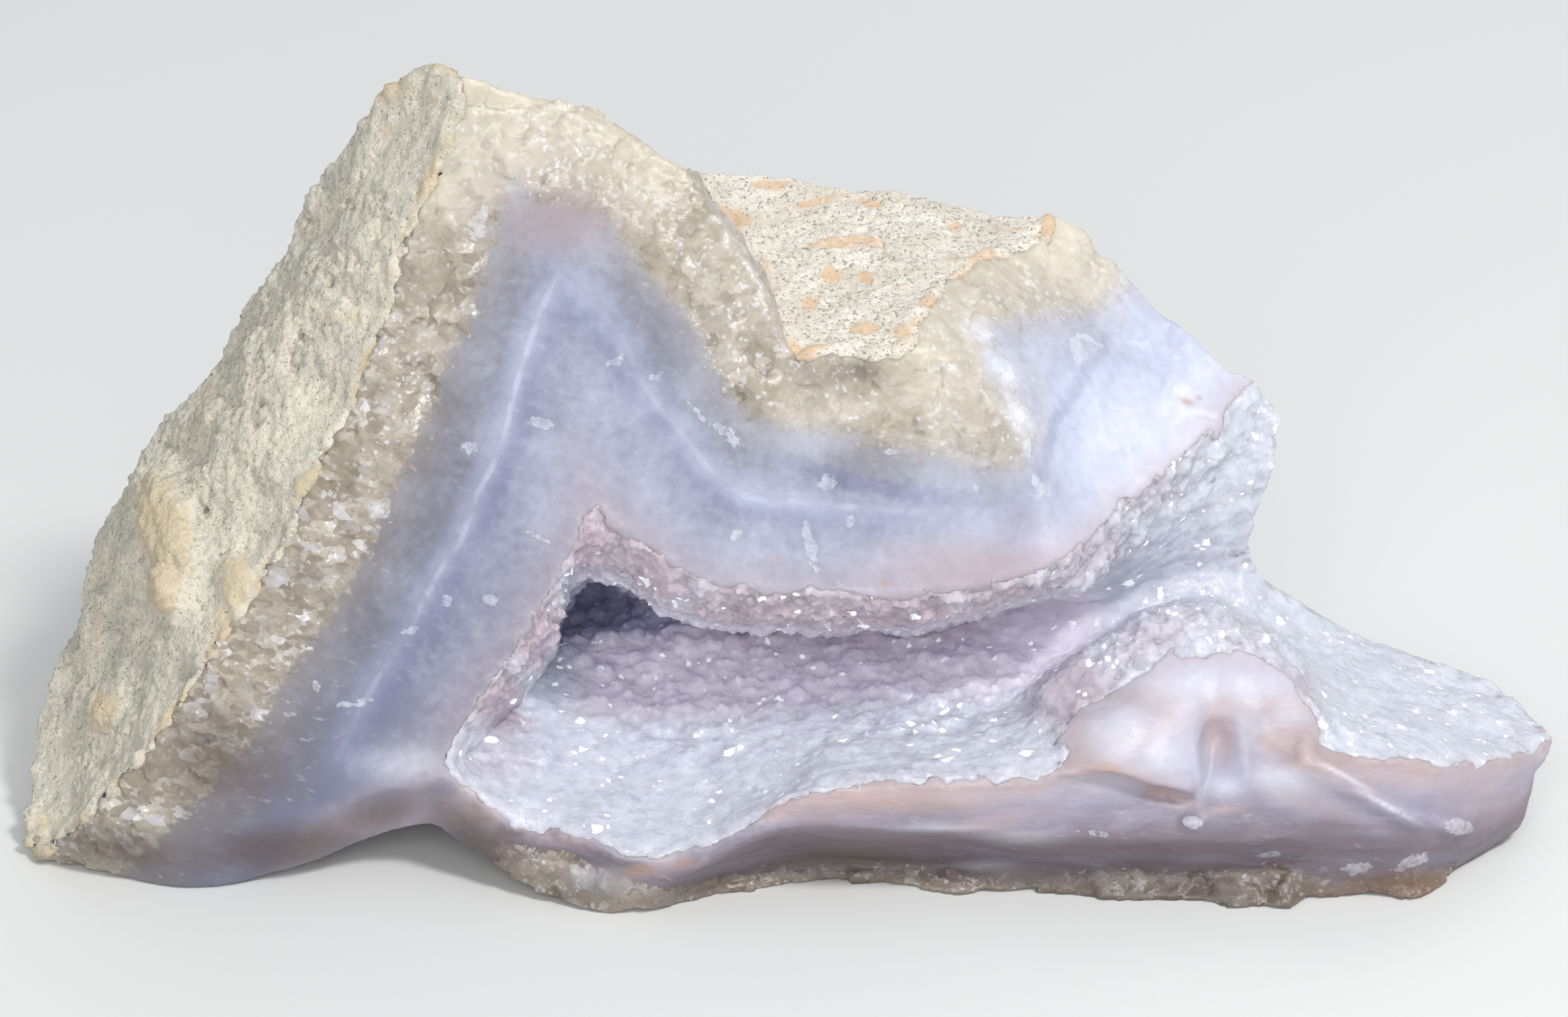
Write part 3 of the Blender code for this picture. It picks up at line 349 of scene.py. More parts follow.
agate = {
    "voxel": 0.33, "sunkUnderCrust": 0.85, "lastBand": 3.4,
    # The share of faces that is kept where nothing shows
    "kept": {"onRock": 0.06, "underCrust": 0.1, "behind": 0.28},
    # Size and height of soft unevenness, and size and slope of broken facets
    "uneven": {"smooth": (5.0, 0.3), "quartz": (2.4, 0.4)},
    "facets": {"side": (1.1, 0.32), "quartz": (2.2, 0.2), "shoulder": (4.0, 0.12), "behind": (5.0, 0.16)},
    # Where the parts of the front begin and end
    "shelf": {"left": (-27, -23), "top": 12.5, "step": 6, "stepAcross": (14, 22)},
    "mound": {"across": 31, "up": 14, "halfWidth": 10.5, "halfHeight": 7},
    "leftLimb": (-29, -25), "shoulder": {"across": (12, 16), "up": (28, 33)}, "back": (15, 20),
    # Drawn lines between the bands: granular quartz to chalcedony, and the middle
    "quartzEdge": [
        [(-21.5, 54), (-22.7, 50), (-23.6, 46), (-26.2, 41), (-27.2, 38), (-28.8, 34), (-30, 31.5),
         (-32, 27.5), (-34, 23.7), (-37.5, 19), (-40, 14.6), (-42.5, 11.5), (-46.5, 7.4)],
        [(-18, 54.5), (-14.5, 54.5), (-12, 51), (-9.5, 48), (-7, 45.5), (-5, 41.5), (-3, 38.5),
         (0, 37.6), (4, 37), (8, 36), (12, 35.2), (15, 34.4), (18, 34.4), (19, 36.5), (17.2, 40),
         (15.5, 42), (15.5, 45), (17, 45.5), (20, 46), (24, 46.6), (26, 48.2)],
        [(8, 3.8), (13, 3.4), (18, 2.7), (22, 3.4), (26, 4), (30, 3.8), (35, 4), (38, 4.4), (42, 2.7),
         (45.5, 3.2), (49, 4), (51.5, 4.2)],
    ],
    "middle": [
        [(-17.2, 49.1), (-18.3, 46.6), (-19.4, 43.5), (-20.5, 40), (-21.4, 36), (-23.1, 32.6),
         (-24.4, 29.1), (-25.6, 27.4), (-27.5, 24), (-28.7, 21.5), (-30.3, 19.3), (-32.2, 15.9),
         (-34.4, 11.5), (-36.5, 8)],
        [(-17.2, 49.1), (-14.5, 46.8), (-12.2, 44.1), (-11, 41.4), (-9.3, 38.7), (-7, 36),
         (-5.1, 33.7), (-2.8, 32.2), (1.1, 31.8), (4.9, 31.4), (10.7, 31), (16.5, 31.2),
         (21, 33), (25, 37.5), (29, 41.5)],
        [(-15, 3.2), (-11, 3.2), (-5, 5), (0, 7.2), (5, 7), (13, 6.6), (20, 6.2), (30, 6.2), (38, 6.4),
         (45, 6.2), (52, 6)],
    ],
    "hollowEdge": [
        [(-26.2, 10.9), (-25.8, 12.5), (-25.4, 14), (-23.7, 16), (-21.7, 19), (-20.2, 21),
         (-19.2, 23), (-17.8, 25), (-16.7, 27.8), (-15.7, 30), (-14.3, 32), (-12.5, 30.4),
         (-10, 28.6), (-8, 26.9), (-5, 25.8), (-1, 25.5), (3, 25.3), (7, 25.1), (11, 25.2),
         (15, 25.8), (19.6, 27), (21.5, 28.3), (24, 30.3), (25.5, 31.9), (28, 33.9), (30.3, 35.6),
         (32, 37.4), (33.5, 39.4)],
        [(-23.5, 9.2), (-20, 6.4), (-17.5, 6.1), (-14.5, 5.8), (-12.8, 4.6), (-10, 4.3), (-7.5, 4.5),
         (-5, 5.4), (-3, 6.6), (0, 8.3), (2, 9.3), (5, 9.8), (10, 10.1), (15, 10), (19.5, 10.5),
         (22, 12.5), (22, 14), (23, 15.5), (25.5, 16.7), (29, 18.9), (32, 19.8), (35, 19.8),
         (37.6, 18.5), (39, 16.6), (40, 15), (40.6, 13), (42, 12.2), (45, 12), (50, 11.6),
         (54, 11.8), (57, 12.4)],
    ],
    # The way in which the quartz on the side grew, away from the rock
    "growth": (0.86, 0.35, -0.36),
    # The thin white line: (across, up, strength)
    "whiteLine": [
        [(-17.2, 49.1, 0.5), (-18.3, 46.6, 0.9), (-19.4, 43.5, 1), (-20.5, 40, 1), (-21.4, 36, 0.9),
         (-23.1, 32.6, 0.9), (-24.4, 29.1, 0.8), (-25.6, 27.4, 0.8), (-27.5, 24, 0.75), (-28.7, 21.5, 0.6),
         (-30.3, 19.3, 0.6), (-32.2, 15.9, 0.5), (-34, 12.2, 0.2)],
        [(-17.2, 49.1, 0.3), (-14.5, 46.8, 0.25), (-12.2, 44.1, 0.4), (-11, 41.4, 0.5), (-9.3, 38.7, 0.6),
         (-7, 36, 0.7), (-5.1, 33.7, 0.85), (-2.8, 32.2, 1), (1.1, 31.8, 0.9), (4.9, 31.4, 0.8),
         (10.7, 31, 0.5), (16.5, 31.2, 0.1)],
    ],
    # Darker seams beside it, the crease on the shoulder and a crack: (across, up, strength)
    "seams": [
        [(-18.2, 44, 0.3), (-19.2, 41, 0.9), (-20.1, 37, 0.7), (-21.6, 33.4, 0.9), (-23.2, 29.8, 0.8),
         (-26.4, 23.6, 0.8), (-29.2, 18.9, 0.7), (-31.2, 15.4, 0.4)],
        [(-8.3, 35.4, 0.5), (-5.9, 32.8, 0.7), (-3, 31, 0.6), (1, 30.7, 0.4), (6, 30.3, 0.2)],
        [(-1, 35, 0.3), (2.5, 34.2, 0.9), (6, 33.2, 1), (10, 32.3, 0.8), (14.5, 32, 0.3)],
        [(-13.6, 45, 0.3), (-12.9, 42, 0.5), (-10.8, 39.4, 0.5), (-8.6, 36.9, 0.4)],
        [(24.5, 44.5, 0.3), (22.6, 41, 0.5), (20.3, 37.2, 0.6), (19.4, 33, 0.3)],
        [(-38.6, 9.2, 0.8), (-38, 7.8, 0.9), (-36.8, 6.2, 0.8)],
    ],
    # The skyline of the peak, where the wall of the vein was
    "peakWall": [(-24.3, 63.5), (-20, 62.4), (-17, 62.3), (-15, 61.6), (-12, 59.7), (-9.2, 57.8),
                 (-7.6, 56.6), (-5.5, 52.9), (-3, 49), (-1.5, 46)],
}


def nearestMix(co, samples, values, softness=1.0):
    # At each place, the values of the samples, those nearby counting most
    samples = np.array(samples) / mm
    values = np.array(values)
    result = np.zeros(len(co))
    for start in range(0, len(co), 4000):
        part = co[start:start + 4000] / mm
        away = ((part[:, None] - samples[None]) ** 2).sum(2) + softness ** 2
        weight = 1 / away ** 2.5
        result[start:start + 4000] = (weight * values).sum(1) / weight.sum(1)
    return result


def spread(co, marks, column, softness=3.0):
    # The values in a column of the marks, spread softly over the places
    samples = [onStone(*mark[:2]) for mark in marks]
    return nearestMix(co, samples, [mark[column] for mark in marks], softness)


def wallDistance(co, peak):
    # How far the nearest wall of the vein is: host rock, the peak's skyline or the underside
    toRock = distanceTo(rockTree, co)
    toPeak = np.array([peak.find(Vector(p))[2] for p in co]) / mm
    toUnderside = co[:, 2] / mm + 1 + np.maximum(0, -22 - co[:, 0] / mm) * 1.5
    return np.minimum(np.minimum(toRock, toPeak), toUnderside)


def bandsOf(co):
    # Which band of the vein a place is in: 0 at its wall, 1 where the quartz ends, 2 in the
    # middle and 3 at the hollow
    peak = finderOf(drawnOnStone(agate["peakWall"]))
    far = wallDistance(co, peak)
    borders = []
    for name in ("quartzEdge", "middle", "hollowEdge"):
        samples = [place for line in agate[name] for place in drawnOnStone(line)]
        borders.append(nearestMix(co, samples, wallDistance(np.array(samples), peak)))
    one, two, three = borders
    two = np.maximum(two, one + 1)
    three = np.maximum(three, two + 1)
    band = np.where(far < one, far / one, np.where(
        far < two, 1 + (far - one) / (two - one), 2 + (far - two) / (three - two)))
    return np.clip(band, 0, agate["lastBand"])


stone = grownTogether("agateStone", agate["voxel"])
co, normals = places(stone), facings(stone)
cover = coverOf(co)
sunk = smoothStep(0.68, 0.99, cover) * roomBehind(stone) * agate["sunkUnderCrust"]
co -= normals * (sunk * mm)[:, None]
moveTo(stone, co)
paint(stone, "under", cover)
toRock = distanceTo(rockTree, co)
facesRock = distanceTo(rockTree, co + normals * 0.5 * mm) < toRock
thinned(stone, facesRock & (toRock < 0.7), agate["kept"]["onRock"])
thinned(stone, paintOf(stone, "under") > 0.985, agate["kept"]["underCrust"])
facesBack = facings(stone) @ np.array(forward) > 0.25
thinned(stone, facesBack & (distanceTo(rockTree, places(stone)) > 0.9), agate["kept"]["behind"])
print("agate thinned to", triangles(stone), "triangles")

co = places(stone)
band = bandsOf(co)
paint(stone, "band", band)
paint(stone, "contact", smoothStep(0.0, 0.35, coverOf(co)))
print("agate bands painted")


# Building shaders: every call adds to the node tree that was started last

def tint(*screen):
    # A screen colour as the linear values that a shader takes
    return tuple(((c / 255 + 0.055) / 1.055) ** 2.4 for c in screen) + (1,)


def give(socket, value):
    # Links or sets a value, and None leaves the socket alone
    if isinstance(value, bpy.types.NodeSocket):
        nodeTree.links.new(value, socket)
    elif value is not None:
        socket.default_value = value


def put(kind, *values, out=0, **settings):
    # A node; each value is a socket to link or a constant
    made = nodeTree.nodes.new("ShaderNode" + kind)
    for name, value in settings.items():
        setattr(made, name, value)
    for socket, value in zip(made.inputs, values):
        give(socket, value)
    return made.outputs[out]


def calc(operation, a, b=None, c=None, clamp=False):
    return put("Math", a, b, c, operation=operation, use_clamp=clamp)


def times(a, b):
    return calc("MULTIPLY", a, b)


def timesPlus(a, b, c, clamp=False):
    # a times b, plus c
    return calc("MULTIPLY_ADD", a, b, c, clamp)


def between(value, low, high, toLow=0.0, toHigh=1.0):
    return put("MapRange", value, low, high, toLow, toHigh, interpolation_type="SMOOTHSTEP")


def mixed(factor, a, b, kind="RGBA", first=6, out=2):
    made = nodeTree.nodes.new("ShaderNodeMix")
    made.data_type = kind
    for i, value in zip((0, first, first + 1), (factor, a, b)):
        give(made.inputs[i], value)
    return made.outputs[out]


def mixedWays(factor, a, b):
    # Between two directions
    return mixed(factor, a, b, "VECTOR", 4, 1)


def vector(operation, *values, out=0):
    return put("VectorMath", *values, operation=operation, out=out)


def ramp(value, stops, last=1.0):
    # Colours along a value, where stops go up to last
    made = nodeTree.nodes.new("ShaderNodeValToRGB")
    give(made.inputs[0], value)
    elements = made.color_ramp.elements
    for i in (0, -1):
        elements[i].position, elements[i].color = stops[i][0] / last, tint(*stops[i][1])
    for at, colour in stops[1:-1]:
        elements.new(at / last).color = tint(*colour)
    return made.outputs[0]


def painted(name):
    return put("Attribute", attribute_name=name, out=2)


def coordinates():
    # Object coordinates in millimetres
    return vector("MULTIPLY", put("TexCoord", out=3), (1000, 1000, 1000))


def cloud(where, perMm, detail=3.0, rough=0.55):
    return put("TexNoise", where, None, perMm, detail, rough)


def centred(*facts):
    return calc("SUBTRACT", cloud(*facts), 0.5)


def startMaterial(name, piece):
    global nodeTree
    made = bpy.data.materials.new(name)
    made.use_nodes = True
    piece.data.materials.clear()
    piece.data.materials.append(made)
    nodeTree = made.node_tree
    return nodeTree.nodes["Principled BSDF"]


def feed(shader, **sockets):
    for name, value in sockets.items():
        give(shader.inputs[name.replace("_", " ")], value)


def startGroup(name, inputs, outputs):
    global nodeTree
    nodeTree = bpy.data.node_groups.new(name, "ShaderNodeTree")
    for label, kind in inputs.items():
        nodeTree.interface.new_socket(label, in_out="INPUT", socket_type="NodeSocket" + kind)
    for label, kind in outputs.items():
        nodeTree.interface.new_socket(label, in_out="OUTPUT", socket_type="NodeSocket" + kind)
    return nodeTree.nodes.new("NodeGroupInput").outputs, nodeTree.nodes.new("NodeGroupOutput").inputs


def makeFacets():
    # Crystal faces: each cell has its own turned normal, tone and a chance, which picks painted glints and
    # flecks
    given, result = startGroup("crystalFacets", {"Where": "Vector", "PerMm": "Float", "Turn": "Float"},
                               {"Facing": "Vector", "Tone": "Float", "Chance": "Float"})
    middle = (0.5, 0.5, 0.5)
    warp = put("TexNoise", given["Where"], None, 1.3, 2.0, out=1)
    warp = vector("MULTIPLY", vector("SUBTRACT", warp, middle), middle)
    cells = nodeTree.nodes.new("ShaderNodeTexVoronoi")
    give(cells.inputs["Vector"], vector("ADD", given["Where"], warp))
    give(cells.inputs["Scale"], given["PerMm"])
    chances = cells.outputs["Color"]
    way = vector("SCALE", vector("SUBTRACT", chances, middle), None, None, given["Turn"])
    give(result["Facing"], vector("NORMALIZE", vector("ADD", put("NewGeometry", out=1), way)))
    give(result["Tone"], put("SeparateColor", chances))
    give(result["Chance"], put("SeparateColor", chances, out=1))
    return nodeTree


facets = makeFacets()
bumpDistance = 0.0005


def facetsOf(where, perMm, turn):
    made = nodeTree.nodes.new("ShaderNodeGroup")
    made.node_tree = facets
    for name, value in (("Where", where), ("PerMm", perMm), ("Turn", turn)):
        give(made.inputs[name], value)
    return made.outputs


# Colours and finish of the agate

agateFinish = {
    # Band ramps: clear glassy stone, milky stone, and the low front side of the shelf, its bands darkened
    # as painted shade
    "clear": [(0.0, (150, 138, 118)), (0.85, (150, 140, 126)), (1.08, (134, 130, 134)),
              (1.5, (122, 120, 132)), (1.9, (122, 124, 148)), (2.12, (120, 124, 150)),
              (2.5, (134, 134, 154)), (3.0, (150, 144, 158)), (3.4, (156, 148, 160))],
    "milky": [(0.0, (228, 220, 200)), (0.85, (220, 212, 200)), (1.08, (204, 204, 216)),
              (1.5, (206, 212, 232)), (2.2, (212, 217, 236)), (2.6, (218, 221, 238)),
              (3.0, (210, 204, 216)), (3.4, (206, 196, 206))],
    "shelf": [(0.0, (88, 75, 64)), (0.75, (108, 94, 84)), (1.0, (112, 102, 108)),
              (1.4, (126, 120, 134)), (1.7, (120, 107, 116)), (2.1, (134, 124, 136)),
              (2.5, (160, 157, 175)), (2.85, (182, 173, 182)), (3.05, (180, 161, 160)),
              (3.4, (200, 189, 194))],
    # Tones of the granular quartz, from its darkest grains to its white flecks
    "grains": [(0.3, (134, 119, 98)), (0.5, (160, 147, 130)), (0.75, (186, 176, 162)),
               (0.95, (236, 232, 225))],
    # Among these, the white is partly painted highlight and the smoke partly painted shade
    "line": (204, 208, 226), "seam": (120, 120, 156), "pink": (190, 166, 166), "rust": (184, 138, 98),
    "whiteAndPaintedHighlight": (228, 230, 241), "contact": (204, 194, 202), "smokeAndPaintedShade": (96, 82, 76), "chip": (226, 226, 234),
    # How much of its colour each mark gives: stains, with painted highlight in the white and painted shade
    # in the smoke
    "stainsAndPaintedLight": {"whiteAndPaintedHighlight": 0.85, "pink": 0.75, "rust": 0.6, "smokeAndPaintedShade": 0.8},
    "lineWidth": 0.5, "hazeWidth": 1.9, "seamWidth": 1.0, "quartzEnds": (1.06, 0.92),
    "perMm": {"needles": 1.5, "grains": 1.0, "flecks": 3.4, "shells": 0.32},
    "rough": {"clear": 0.28, "quartz": 0.45}, "bump": 0.35,
    "light": {"IOR": 1.54, "Subsurface_Weight": 0.6, "Subsurface_Radius": (1.0, 0.97, 1.12),
              "Subsurface_Scale": 0.0015},
}


def bandRamp(band, name):
    return ramp(calc("DIVIDE", band, agate["lastBand"]), agateFinish[name], agate["lastBand"])


def stained(colour, mark, name, most=1.0):
    # The colour with a painted mark over it
    return mixed(times(mark, most), colour, tint(*agateFinish[name]))


def squeezed(where, growth, depth, share):
    # The places with a share of their depth along the growth taken out
    return vector("SUBTRACT", where, vector("SCALE", tuple(growth), None, None, times(depth, share)))


def finishAgate(piece):
    shader = startMaterial("bandedAgate", piece)
    perMm = agateFinish["perMm"]
    where = coordinates()
    wide = centred(where, 0.25, 2.0)
    fine = centred(where, 1.4, 3.0)
    plain = painted("band")
    side = painted("leftLimb")
    # On the side the crystals and fibres of the stone stand across its bands
    growth = Vector(agate["growth"]).normalized()
    depth = vector("DOT_PRODUCT", where, growth, out=1)
    along = squeezed(where, growth, depth, 0.65)
    fibres = times(centred(along, 1.3, 4.0, 0.6), side)
    fibres = calc("ADD", fibres, times(fine, calc("SUBTRACT", 1.0, side)))

    band = timesPlus(wide, 0.16, plain)
    band = timesPlus(fine, 0.12, band)
    milk = timesPlus(wide, 0.5, painted("milk"))
    milk = timesPlus(fibres, 0.4, milk, clamp=True)
    colour = mixed(milk, bandRamp(band, "clear"), bandRamp(band, "milky"))

    # The thin white line in its haze, and the darker seams
    off = timesPlus(fine, 0.35, painted("lineOff"))
    uneven = between(cloud(where, 0.5, 2.0), 0.3, 0.6, 0.3, 0.65)
    core = times(between(off, agateFinish["lineWidth"], 0.1), uneven)
    haze = times(between(off, agateFinish["hazeWidth"], 0.2), 0.28)
    line = times(calc("MAXIMUM", core, haze), painted("lineStrength"))
    colour = stained(colour, line, "line")
    off = timesPlus(fine, 0.8, painted("seamOff"))
    seam = times(between(off, agateFinish["seamWidth"], 0.1), painted("seamStrength"))
    colour = stained(colour, seam, "seam", 0.5)

    # The side of the shelf lies in thin uneven layers, its colours darkened as painted shade
    layers = centred(vector("MULTIPLY", where, (0.25, 0.25, 1.0)), 0.8, 4.0, 0.6)
    shelf = bandRamp(timesPlus(layers, 0.9, band), "shelf")
    colour = mixed(painted("shelf"), colour, shelf)

    # Granular quartz: glassy grains of different tones
    ragged = timesPlus(fibres, 0.7, timesPlus(fine, 0.3, plain))
    granular = between(ragged, *agateFinish["quartzEnds"])
    turn = times(granular, between(milk, 0.0, 0.6, 0.6, 0.2))
    needles = facetsOf(along, perMm["needles"], turn)
    grain = facetsOf(where, perMm["grains"], turn)
    small = facetsOf(where, perMm["flecks"], 0.6)
    tone = times(put("Mix", side, None, grain["Tone"], needles["Tone"]), 0.26)
    tone = timesPlus(small["Tone"], 0.08, tone)
    tone = timesPlus(calc("ADD", fibres, 0.5), 0.3, tone)
    tone = timesPlus(cloud(where, 0.22, 3.0), 0.43, tone)
    tone = timesPlus(cloud(where, 0.7, 3.0), 0.28, tone)
    share = times(granular, between(milk, 0.0, 0.7, 0.65, 0.2))
    colour = mixed(share, colour, ramp(tone, agateFinish["grains"]))

    # Pale hairs cross the clear stone on the side
    hairs = between(cloud(squeezed(where, growth, depth, 0.93), 2.0, 4.0, 0.6), 0.56, 0.72)
    hairs = times(hairs, between(cloud(where, 0.3, 2.0), 0.45, 0.6))
    hairs = times(hairs, calc("SUBTRACT", timesPlus(side, 0.6, 0.4), granular, clamp=True))
    colour = stained(colour, hairs, "chip", 0.4)

    # Pale bruises left by small chips, and bright flecks among the grains: pale flecks of the quartz,
    # partly painted glints
    torn = timesPlus(calc("SUBTRACT", grain["Tone"], 0.5), 0.35, painted("chip"))
    bruise = between(timesPlus(fine, 1.3, torn), 0.42, 0.56)
    bruise = times(bruise, between(cloud(where, 1.8, 3.0), 0.3, 0.65, 0.35, 1.0))
    patchy = between(cloud(where, 0.3, 1.0), 0.4, 0.6, 0.4, 1.0)
    combed = times(between(needles["Chance"], 0.86, 0.9), side)
    flecksAndGlints = calc("MAXIMUM", between(small["Chance"], 0.91, 0.93), combed)
    flecksAndGlints = times(flecksAndGlints, times(patchy, granular))
    pale = calc("MAXIMUM", times(bruise, 0.5), times(flecksAndGlints, 0.55))
    colour = stained(colour, pale, "chip")

    colour = stained(colour, painted("contact"), "contact", 0.55)
    soft = times(fine, 0.5)
    # The white and smoke marks are partly painted highlight and painted shade
    for name, most in agateFinish["stainsAndPaintedLight"].items():
        mark = calc("ADD", painted(name), times(soft, painted(name)), clamp=True)
        colour = stained(colour, mark, name, most)

    height = timesPlus(bruise, 0.4, times(cloud(where, 0.7, 4.0, 0.5), 0.5))
    height = timesPlus(times(cloud(along, 2.2, 4.0, 0.6), granular), 0.35, height)
    height = timesPlus(times(layers, painted("shelf")), 1.2, height)
    shelly = facetsOf(where, perMm["shells"], 0.16)
    facing = mixedWays(side, grain["Facing"], needles["Facing"])
    facing = mixedWays(granular, shelly["Facing"], facing)
    bump = put("Bump", agateFinish["bump"], bumpDistance, None, height, facing)
    rough = agateFinish["rough"]
    rough = between(calc("SUBTRACT", granular, milk), 0.0, 1.0, rough["quartz"], rough["clear"])
    feed(shader, Base_Color=colour, Normal=bump, Roughness=rough, **agateFinish["light"])


# The host rock

def finishRock(piece, name, colours):
    shader = startMaterial(name, piece)
    where = coordinates()
    speckle = cloud(where, 2.8, 5.0, 0.7)
    grit = cloud(where, 7.0, 3.0, 0.6)
    blotch = timesPlus(centred(where, 3.0, 4.0, 0.7), 1.0, cloud(where, 0.3, 3.0))
    colour = mixed(between(blotch, 0.38, 0.62), tint(*colours["pale"]), tint(*colours["other"]))
    patch = timesPlus(centred(where, 0.9, 5.0, 0.7), 2.2, painted("tan"))
    patch = times(between(patch, 0.35, 0.9), between(grit, 0.3, 0.6, 0.5, 0.95))
    colour = mixed(patch, colour, tint(*colours["tan"]))
    speck = timesPlus(calc("SUBTRACT", grit, 0.5), 0.25, speckle)
    speck = timesPlus(patch, 0.06, speck)
    speck = times(between(speck, colours["specks"], colours["specks"] - 0.07), 0.7)
    colour = mixed(speck, colour, tint(*colours["dark"]))
    colour = mixed(times(painted("pit"), 0.75), colour, tint(*colours["pit"]))
    bump = put("Bump", 0.7, bumpDistance, None, timesPlus(grit, 0.6, speckle))
    feed(shader, Base_Color=colour, Normal=bump, Roughness=0.9, IOR=1.5)


# The crystals

crystalFinish = {
    "cool": [(0.3, (199, 201, 213)), (0.9, (222, 225, 234))],
    "warm": [(0.3, (168, 152, 164)), (0.9, (208, 193, 201))],
    # The deep colour is painted shade for the pocket, and the pale colour after it is painted light for the
    # back floor under the ceiling
    "deep": (186, 186, 212), "inside": (246, 236, 250), "contact": (206, 200, 211),
    # Painted light: the glint colour is a painted glint on a few faces, and the gleam colour is a faint
    # painted glow there
    "root": (186, 170, 180), "paintedGlint": (238, 243, 255), "paintedGlow": (0.32, 0.33, 0.36, 1),
    # Faces to the millimetre, and the chances above which a face gets a painted glint
    "faces": {"perMm": 1.3, "paintedGlintChances": (0.984, 0.986)},
    "smallFaces": {"perMm": 2.7, "paintedGlintChances": (0.982, 0.986)},
    "rough": {"plain": 0.3, "onPaintedGlint": 0.15}, "bump": 0.3,
    "light": {"IOR": 1.54, "Emission_Strength": 1.0, "Subsurface_Weight": 0.8,
              "Subsurface_Radius": (1.0, 0.97, 1.08), "Subsurface_Scale": 0.0012},
}


def finishCrystals(piece):
    shader = startMaterial("druseQuartz", piece)
    where = coordinates()
    turn = timesPlus(painted("relief"), 0.5, 0.2)
    faces, smallFaces = crystalFinish["faces"], crystalFinish["smallFaces"]
    face = facetsOf(where, faces["perMm"], turn)
    small = facetsOf(where, smallFaces["perMm"], turn)
    tone = timesPlus(painted("tone"), 0.2, times(cloud(where, 0.4, 3.0), 0.8))
    tone = timesPlus(face["Tone"], 0.14, tone)
    cool, warm = ramp(tone, crystalFinish["cool"]), ramp(tone, crystalFinish["warm"])
    colour = mixed(painted("pink"), cool, warm)
    root = mixed(painted("pink"), tint(*crystalFinish["contact"]), tint(*crystalFinish["root"]))
    colour = mixed(times(painted("contact"), 0.6), colour, root)
    # Painted light: the back floor under the ceiling is painted paler, as if lit
    colour = mixed(times(painted("inside"), 0.6), colour, tint(*crystalFinish["inside"]))
    # Painted shade: the crust deep in the pocket is painted darker
    colour = mixed(painted("deep"), colour, tint(*crystalFinish["deep"]))
    # A few faces get a painted glint: a near-white colour and a faint painted glow
    outsidePaintedShade = calc("SUBTRACT", 1.0, painted("deep"))
    patchy = between(cloud(where, 0.25, 2.0), 0.4, 0.5)
    paintedGlint = calc("MAXIMUM", between(face["Chance"], *faces["paintedGlintChances"]),
                 between(small["Chance"], *smallFaces["paintedGlintChances"]))
    paintedGlint = times(times(paintedGlint, patchy), outsidePaintedShade)
    colour = mixed(paintedGlint, colour, tint(*crystalFinish["paintedGlint"]))
    facing = mixedWays(cloud(where, 0.8, 1.0), face["Facing"], small["Facing"])
    bump = put("Bump", crystalFinish["bump"], bumpDistance, None, cloud(where, 2.5, 3.0), facing)
    paintedGlow = mixed(paintedGlint, (0, 0, 0, 1), crystalFinish["paintedGlow"])
    piece.active_material.cycles.emission_sampling = "NONE"
    rough = between(paintedGlint, 0.0, 1.0, crystalFinish["rough"]["plain"], crystalFinish["rough"]["onPaintedGlint"])
    feed(shader, Base_Color=colour, Normal=bump, Roughness=rough, Emission_Color=paintedGlow,
         **crystalFinish["light"])


# Painting and carving the agate

